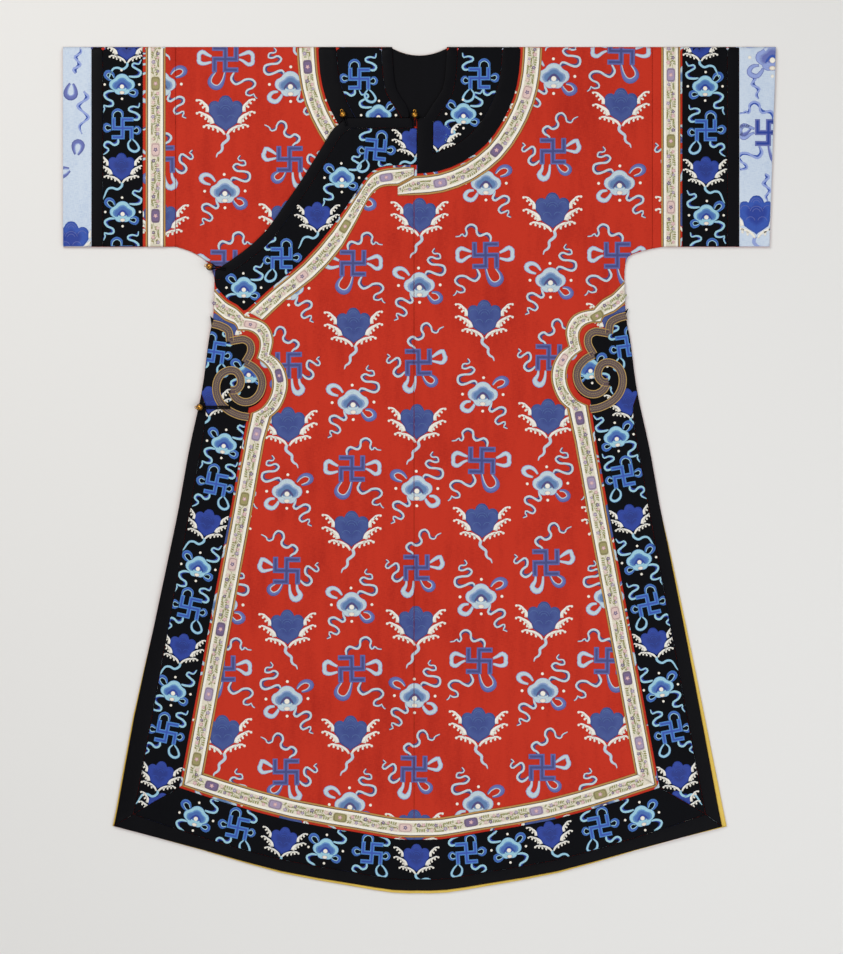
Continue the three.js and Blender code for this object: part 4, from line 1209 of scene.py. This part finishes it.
def cuffPattern(name):
    ring = inset(outlines[name], woven["inset"])
    tone = tones["onBlue"]
    parts = []
    for kind, px, py, a, b in cuffMotifs[name]:
        at = atPhoto(px, py)
        if kind in cuffShapes:
            p = np.array(cuffShapes[kind]) * b
            rows = np.concatenate([spun(p[:, 0], p[:, 1], np.radians(a)) + at, p[:, 2:]], axis=1)
            found = [loop(tone, rows, "blue") if kind == "loop" else tail(tone, rows)]
        else:
            found = placedMotif(kind, "ground", "onBlue", at[0], at[1], a, b)
        parts += clippedAll(found, ring)
    return patternPiece("pattern_" + name, name, parts, "pattern")


cuffWoven = {name: cuffPattern(name) for name in cuffMotifs}
print("cuff patterns woven")


# Flowered ribbons: a strip between the two long edges of each solid, in stripes of fixed width

ribbon = {
    "width": 31.7, "step": 5.0,
    # from either edge inwards: distance, height above the cloth and dye
    "stripes": [(0.0, -0.35, "gold"), (0.5, 0.12, "gold"), (1.5, 0.2, "gold"), (2.5, 0.1, "gold"),
                (2.7, -0.08, "line"), (3.9, -0.08, "line"), (4.1, 0.03, "white"), (7.6, 0.03, "white"),
                (7.8, 0.0, "ribbon")],
    "vineSwing": 3.2, "vineWave": 31.0, "vineStep": 3.0, "vineHalf": 0.38, "bloomStep": 7.4, "bloomOff": 3.9,
    "bloomSize": 3.7, "jitter": 0.8, "leafSize": (2.7, 1.4),
    # distance from the vine and tilt of the two leaves at each step
    "leafRows": ((5.3, 0.7), (-1.8, -0.9)),
    "cartouche": (7.2, 11.5), "cartoucheStep": 109.0, "cartoucheBloom": 4.2, "squareness": 0.45,
    "cartouches": ("violet", "mauve", "oliveDeep", "blush"),
    "blooms": ("pink", "mauve", "blush", "violet"),
    "leaves": ("olive", "sage", "oliveDeep"),
}
ruyiDrop = 13.0
hemCorner = {"outer": (393.5, -520), "inner": (357, -498.7)}


def sidePairs(s, drop):
    # side seam, the three points of the ruyi head, and hem corner, for the outer and the inner edge
    rows = [((338, 312), (339, 274)), ((286, 266), (300, 242)), ((245, 204), (269, 197)),
            ((243, 101), (278, 107))]
    pairs = [tuple((s * x, y - drop) for x, y in row) for row in rows]
    return pairs + [tuple((s * hemCorner[key][0], hemCorner[key][1]) for key in ("inner", "outer"))]


# matching places on a ribbon's two edges, from one end to the other
ribbonPairs = {
    "ribbon_sleeve_left": [((398.5, 698), (430, 698)), ((398.5, 368), (430, 368))],
    "ribbon_sleeve_right": [((-418.5, 698), (-451.5, 698)), ((-418.5, 368), (-451.5, 368))],
    "ribbon_collar_left": [((170.5, 698), (202.5, 698)), ((-9, 484), (-9, 452)), ((-36, 467), (-36, 452))],
    "ribbon_collar_right": [((-170.5, 698), (-202.5, 698)), ((-136, 567), (-155, 541))],
    "ribbon_lapel": [((-9, 499), (-9, 484)), ((-43, 498), (-36, 468)), ((-283, 261), (-256, 246))],
    "ribbon_side_left": sidePairs(1, 0),
    "ribbon_side_right": sidePairs(-1, ruyiDrop),
    "ribbon_hem": [((-hemCorner["outer"][0], hemCorner["outer"][1]),
                    (-hemCorner["inner"][0], hemCorner["inner"][1])),
                   (hemCorner["outer"], hemCorner["inner"])],
}


cornerReach, cornerTurn = 9, 0.35  # mm, and the least sine of the turn at a corner


def cornerNear(ring, place):
    # the sharpest point of the outline within reach of a place, or else the nearest one
    away = np.linalg.norm(ring - np.array(place), axis=1)
    ahead = np.roll(ring, -1, axis=0) - ring
    back = ring - np.roll(ring, 1, axis=0)
    scale = np.linalg.norm(back, axis=1) * np.linalg.norm(ahead, axis=1)
    turn = np.abs(np.cross(back, ahead)) / (scale + 1e-9)
    close = np.where((away < cornerReach) & (turn > cornerTurn))[0]
    return int(close[np.argmin(away[close])]) if len(close) else int(np.argmin(away))


def between(ring, i, j):
    # the outline from point i to point j, the shorter way round
    n = len(ring)
    forward = ring[np.arange(i, i + (j - i) % n + 1) % n]
    backward = ring[np.arange(i, i - (i - j) % n - 1, -1) % n]
    return forward if lengthOf(forward) <= lengthOf(backward) else backward


def ribbonEdges(name):
    ring = densified(outlines[name], 4)
    outer, inner = [], []
    for (a0, b0), (a1, b1) in zip(ribbonPairs[name], ribbonPairs[name][1:]):
        one = between(ring, cornerNear(ring, a0), cornerNear(ring, a1))
        two = between(ring, cornerNear(ring, b0), cornerNear(ring, b1))
        count = max(3, int(max(lengthOf(one), lengthOf(two)) / ribbon["step"]) + 1)
        outer.append(evenly(one, count)[(1 if outer else 0):])
        inner.append(evenly(two, count)[(1 if inner else 0):])
    return np.concatenate(outer), np.concatenate(inner)


def ribbonPiece(name):
    # the cloth piece, and the ribbon's middle line and widths
    a, b = ribbonEdges(name)
    stripes = ribbon["stripes"]
    rows = stripes + [(ribbon["width"] / 2, 0.0, "ribbon")] + stripes[::-1]
    share = np.array([row[0] for row in stripes]) / ribbon["width"]
    shares = np.concatenate([share, [0.5], 1 - share[::-1]])
    xy = (a[:, None] + (b - a)[:, None] * shares[None, :, None]).reshape(-1, 2)
    tint = np.tile(np.array([dye(row[2]) for row in rows]), (len(a), 1))
    part = facingUp({"xy": xy, "tris": gridTris(len(a), len(shares)), "dye": tint, "level": 0})
    bottom, top = heightsOf(layerOf(name), xy)
    top = top + np.tile([row[1] for row in rows], len(a)) * (top - bottom) / robe["trim"]
    points, faces = closedShell(xy, part["tris"], bottom, top)
    piece = meshFrom("cloth_" + name, points, faces, "ribbon", np.tile(tint, (2, 1)))
    return declared(piece, name), (a + b) / 2, np.linalg.norm(b - a, axis=1)


def bloom(colour, at, size, turn, level=1):
    # five petals: the radius swells with the cosine of five times the angle
    t = np.linspace(0, 2 * np.pi, 15, endpoint=False)
    r = size * (0.74 + 0.26 * np.cos(5 * (t - turn)))
    outline = np.stack([np.cos(t), np.sin(t)], axis=1) * r[:, None]
    return blob(outline, [colour, colour, "cream"], at, (1.0, 0.5), level)


def leaf(colour, at, long, wide, turn, level=0):
    t = np.linspace(0, 2 * np.pi, 6, endpoint=False)
    return blob(spun(long * np.cos(t), wide * np.sin(t), turn), [colour, colour], at, (1.0,), level)


def ribbonFlowers(name, middle, wide, seed):
    # a vine that swings from side to side, with blooms in its bends, leaves between, and large cartouches
    reach = reachOf(middle)
    way = headings(middle)

    def at(s, off):
        # the place at a distance along the ribbon and off its middle, the heading there, and the room
        p = np.array([np.interp(s, reach, middle[:, k]) for k in (0, 1)])
        w = np.array([np.interp(s, reach, way[:, k]) for k in (0, 1)])
        room = min(np.interp(s, reach, wide) / ribbon["width"], 1.0)
        return p + np.array([-w[1], w[0]]) * off * room, np.arctan2(w[1], w[0]), room

    def swing(s):
        return np.sin(2 * np.pi * s / ribbon["vineWave"] + seed)

    vine = [(*at(s, ribbon["vineSwing"] * swing(s))[0], ribbon["vineHalf"])
            for s in np.arange(2, reach[-1] - 2, ribbon["vineStep"])]
    parts = [swath(np.array(vine), (-1, 1), ["sage", "olive"], -1)]
    gap = ribbon["cartoucheStep"]
    cartouches = np.arange(gap * (0.3 + 0.13 * (seed % 4)), reach[-1] - 14, gap)
    half, long = ribbon["cartouche"]
    t = np.linspace(0, 2 * np.pi, 16, endpoint=False)
    boxX, boxY = [np.sign(c) * np.abs(c) ** ribbon["squareness"] for c in (np.cos(t), np.sin(t))]
    for i, c in enumerate(cartouches):
        place, turn, room = at(c, 0)
        colour = ribbon["cartouches"][(i + seed) % 4]
        outline = spun(boxX * long, boxY * half * room, turn)
        parts.append(blob(outline, [colour, colour, "line", colour, colour], place, (1, 0.88, 0.82, 0.76), 1))
        parts.append(bloom("pink" if colour != "blush" else "violet", place, ribbon["cartoucheBloom"] * room,
                           turn, 2))
    for i, c in enumerate(np.arange(4.0, reach[-1] - 4, ribbon["bloomStep"] / 2)):
        if len(cartouches) and np.min(np.abs(cartouches - c)) < long + 3.5:
            continue
        side = 1 if swing(c) > 0 else -1
        jitter = ribbon["jitter"] * np.sin(i * 12.9898 + seed * 4.1)
        if i % 2 == 0:
            place, turn, room = at(c + jitter, -side * (ribbon["bloomOff"] + 0.6 * jitter))
            size = (ribbon["bloomSize"] + 0.6 * np.sin(i * 2.1 + seed)) * room
            parts.append(bloom(ribbon["blooms"][(i // 2 + seed) % 4], place, size, turn + i))
        for j, (off, tilt) in enumerate(ribbon["leafRows"]):
            place, turn, room = at(c + 2.6 * j - 1.5, side * off + jitter)
            leafLong, leafWide = ribbon["leafSize"]
            parts.append(leaf(ribbon["leaves"][(i + j) % 3], place, leafLong * room, leafWide * room,
                              turn + tilt + jitter))
    return patternPiece("flowers_" + name, name, parts, "ribbon")


ribbons, flowers = {}, {}
for seed, name in enumerate(ribbonPairs):
    ribbons[name], middle, wide = ribbonPiece(name)
    flowers[name] = ribbonFlowers(name, middle, wide, seed + 1)
print("ribbons made:", len(ribbons))


# Braid scrolls: two arms of flat braid, with gold edges and three rows of small scales

scroll = {
    "width": 13.2, "step": 2.4, "scale": 3.5, "scaleSize": (1.95, 1.45), "rows": (-3.3, 0.0, 3.3),
    "over": 0.12,
    # across the braid: share of the half width, height and dye
    "columns": [(-1.0, -0.25, "braidGold"), (-0.93, 0.12, "braidGold"), (-0.84, 0.12, "braidGold"),
                (-0.8, -0.1, "braidDeep"), (0.0, 0.0, "braid"), (0.8, -0.1, "braidDeep"),
                (0.84, 0.12, "braidGold"), (0.93, 0.12, "braidGold"), (1.0, -0.25, "braidGold")],
    # centre lines, as in the solids; a third value marks a sharp point
    "upper": [(341, 254), (327, 250), (315, 242), (312, 225, 1), (301, 227), (289, 228), (279, 221),
              (278, 207), (287, 190, 1), (273, 182), (262, 169), (259, 154), (264, 138), (276, 127),
              (290, 125), (302, 131), (309, 142)],
    "lower": [(281, 100), (297, 103), (314, 111), (327, 123), (334, 139), (334, 156), (327, 170),
              (314, 177), (302, 175), (295, 165), (295, 153), (302, 145), (311, 144)],
}


def scrollLines(rows, step):
    # the stretches between sharp points, each made smooth
    stretches, current = [], []
    for i, row in enumerate(rows):
        current.append(row[:2])
        if (len(row) > 2 or i == len(rows) - 1) and len(current) > 1:
            stretches.append(smoothLine(current, step))
            current = [row[:2]]
    return stretches


def scrollScales(line, s, level):
    # three rows of scales along the line, the middle one half a step on
    found = []
    step = scroll["scale"]
    n = int(lengthOf(line) / step)
    spots = evenly(line, n + 1)
    way = headings(spots)
    for row, off in enumerate(scroll["rows"]):
        for i in range(n):
            side = np.array([-way[i, 1], way[i, 0]])
            at = spots[i] + side * off * s + way[i] * step * (0.5 + 0.5 * (row % 2))
            turn = np.arctan2(way[i, 1], way[i, 0])
            found.append(leaf("braidScale", at, *scroll["scaleSize"], turn, 3 * level))
    return found


def scrollPiece(name, s, drop):
    shells, found = [], []
    shares, lifts, colours = zip(*scroll["columns"])
    for level, arm in ((0, "upper"), (1, "lower")):
        for line in scrollLines(scroll[arm], scroll["step"]):
            line = line * np.array([s, 1]) - np.array([0, drop])
            half = np.full(len(line), scroll["width"] / 2)
            part = swath(np.column_stack([line, half]), shares, colours, level)
            bottom, top = heightsOf(layerOf(name), part["xy"])
            top = top + np.tile(lifts, len(line)) + scroll["over"] * level
            shells.append((*closedShell(part["xy"], part["tris"], bottom, top), part["dye"]))
            found += scrollScales(line, s, level)
    points, faces, tints = joined(shells)
    piece = declared(meshFrom("cloth_" + name, points, faces, "braid", tints), name)
    return piece, patternPiece("scales_" + name, name, found, "braid")


scrolls, scales = {}, {}
for name, s, drop in (("scroll_left", 1, 0), ("scroll_right", -1, ruyiDrop)):
    scrolls[name], scales[name] = scrollPiece(name, s, drop)
print("braid scrolls made")


# Gilt ball buttons and their satin loops

fastening = {
    "ball": 5.2, "cord": 1.2, "gap": 0.3, "facet": 0.9, "sides": 10, "loopEnd": 0.75,
    # shallow chased gores, and the ring shank
    "gores": 8, "goreDepth": 0.025, "shank": 2.0, "shankWire": 0.7, "shankOut": 1.0,
    # name, middle of the ball, direction and length of the loop, and what the loop crosses
    "rows": [("neck", -8, 584, -90, 19, 0), ("clavicle", -126, 585, -72, 19, 0),
             ("underarm", -345, 335, -8, 26, 0), ("side", -361, 103, 0, 50, 1.3)],
}


def tube(path, radius, sides):
    # a round section carried along the path, closed at both ends
    way = headings(path)
    side = np.cross(way, [0, 0, 1.0])
    side /= np.linalg.norm(side, axis=1)[:, None]
    up = np.cross(side, way)
    t = np.linspace(0, 2 * np.pi, sides, endpoint=False)
    ring = radius * (np.cos(t)[None, :, None] * side[:, None] + np.sin(t)[None, :, None] * up[:, None])
    points = (path[:, None] + ring).reshape(-1, 3)
    tris = gridTris(len(path), sides, closed=True)[:, ::-1]
    n = len(points)
    first = np.array([[i, (i + 1) % sides, n] for i in range(sides)])
    last = np.array([[n - sides + (i + 1) % sides, n - sides + i, n + 1] for i in range(sides)])
    return np.concatenate([points, path[:1], path[-1:]]), np.concatenate([tris, first, last])


def loopPiece(name, x, y, turn, long, over):
    # two strands side by side from the cloth to an eye round the button's shank
    r, c, gap = fastening["ball"], fastening["cord"], fastening["gap"]
    eye = np.sqrt((r + c + 1.5 * gap) ** 2 - (r - c) ** 2)
    apart = c + gap
    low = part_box("loop_" + name)[0][2] / metre
    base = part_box("button_" + name)[0][2] / metre
    t = np.linspace(fastening["loopEnd"], 2 * np.pi - fastening["loopEnd"], 40)
    strand = np.linspace(long, eye * 1.6, 18)
    flat = np.concatenate([
        np.stack([strand, np.full_like(strand, apart)], axis=1),
        np.stack([eye * np.cos(t), eye * np.sin(t)], axis=1),
        np.stack([strand[::-1], np.full_like(strand, -apart)], axis=1),
    ])
    px, py = (spun(flat[:, 0], flat[:, 1], np.radians(turn)) + np.array([x, y])).T
    onCloth = secondLayer(px, py) + robe["cloth"] + robe["trim"] + 2 * robe["gap"] + over
    share = softStep((flat[:, 0] - 1.2 * eye) / (0.8 * eye))
    high = np.maximum(onCloth * share + base * (1 - share), low) + c
    path = np.stack([px, py, high], axis=1)
    path = evenly(path, int(reachOf(path)[-1] / fastening["facet"]), 3)
    kernel = np.ones(5) / 5
    soft = np.stack([np.convolve(np.pad(row, 2, mode="edge"), kernel, "valid") for row in path.T], axis=1)
    points, faces = tube(soft, c, fastening["sides"])
    return declared(meshFrom("cord_loop_" + name, points, faces, "satin"), "loop_" + name)


def angles(count):
    return np.linspace(0, 2 * np.pi, count, endpoint=False)


def buttonPiece(name, x, y, turn):
    # a ball of revolution whose radius dips at each gore, and a ring of wire beside it
    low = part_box("button_" + name)[0][2] / metre
    r = fastening["ball"]
    u, v = np.meshgrid(np.linspace(0, np.pi, 21), angles(32), indexing="ij")
    dip = np.sin(u) * (0.5 + 0.5 * np.cos(fastening["gores"] * v)) ** 3
    gore = r * (1 - fastening["goreDepth"] * dip)
    ball = np.stack([gore * np.sin(u) * np.cos(v), gore * np.sin(u) * np.sin(v), gore * np.cos(u)], axis=-1)
    ball = ball.reshape(-1, 3)
    tris = gridTris(21, 32, closed=True)
    p, q, s = (ball[tris[:, k]] for k in range(3))
    tris = tris[np.linalg.norm(np.cross(q - p, s - p), axis=1) > 1e-7]
    a, b = np.meshgrid(angles(20), angles(10), indexing="ij")
    out = fastening["shank"] + fastening["shankWire"] * np.cos(b)
    ring = np.stack([out * np.cos(a), out * np.sin(a), fastening["shankWire"] * np.sin(b)], axis=-1)
    i, j = np.meshgrid(np.arange(20), np.arange(10), indexing="ij")
    p, q = (i + 1) % 20, (j + 1) % 10
    ringTris = np.concatenate([np.stack([i * 10 + j, p * 10 + j, p * 10 + q], -1).reshape(-1, 3),
                               np.stack([i * 10 + j, p * 10 + q, i * 10 + q], -1).reshape(-1, 3)])
    way = np.radians(turn)
    shank = ring.reshape(-1, 3) - (r + fastening["shankOut"]) * np.array([np.cos(way), np.sin(way), 0])
    points = np.concatenate([ball, shank]) + np.array([x, y, low + r])
    faces = np.concatenate([tris, ringTris + len(ball)])
    return declared(meshFrom("ball_" + name, points, faces, "gilt"), "button_" + name)


for name, x, y, turn, long, over in fastening["rows"]:
    loopPiece(name, x, y, turn, long, over)
    buttonPiece(name, x, y, turn)
print("buttons and loops made")

# Triangles in each made mesh, the largest first


counts = {o.name: len(o.data.polygons) for o in bpy.data.objects if o.type == "MESH" and o.name not in nodes}
print("triangles:", sum(counts.values()), sorted(counts.items(), key=lambda row: -row[1])[:14])
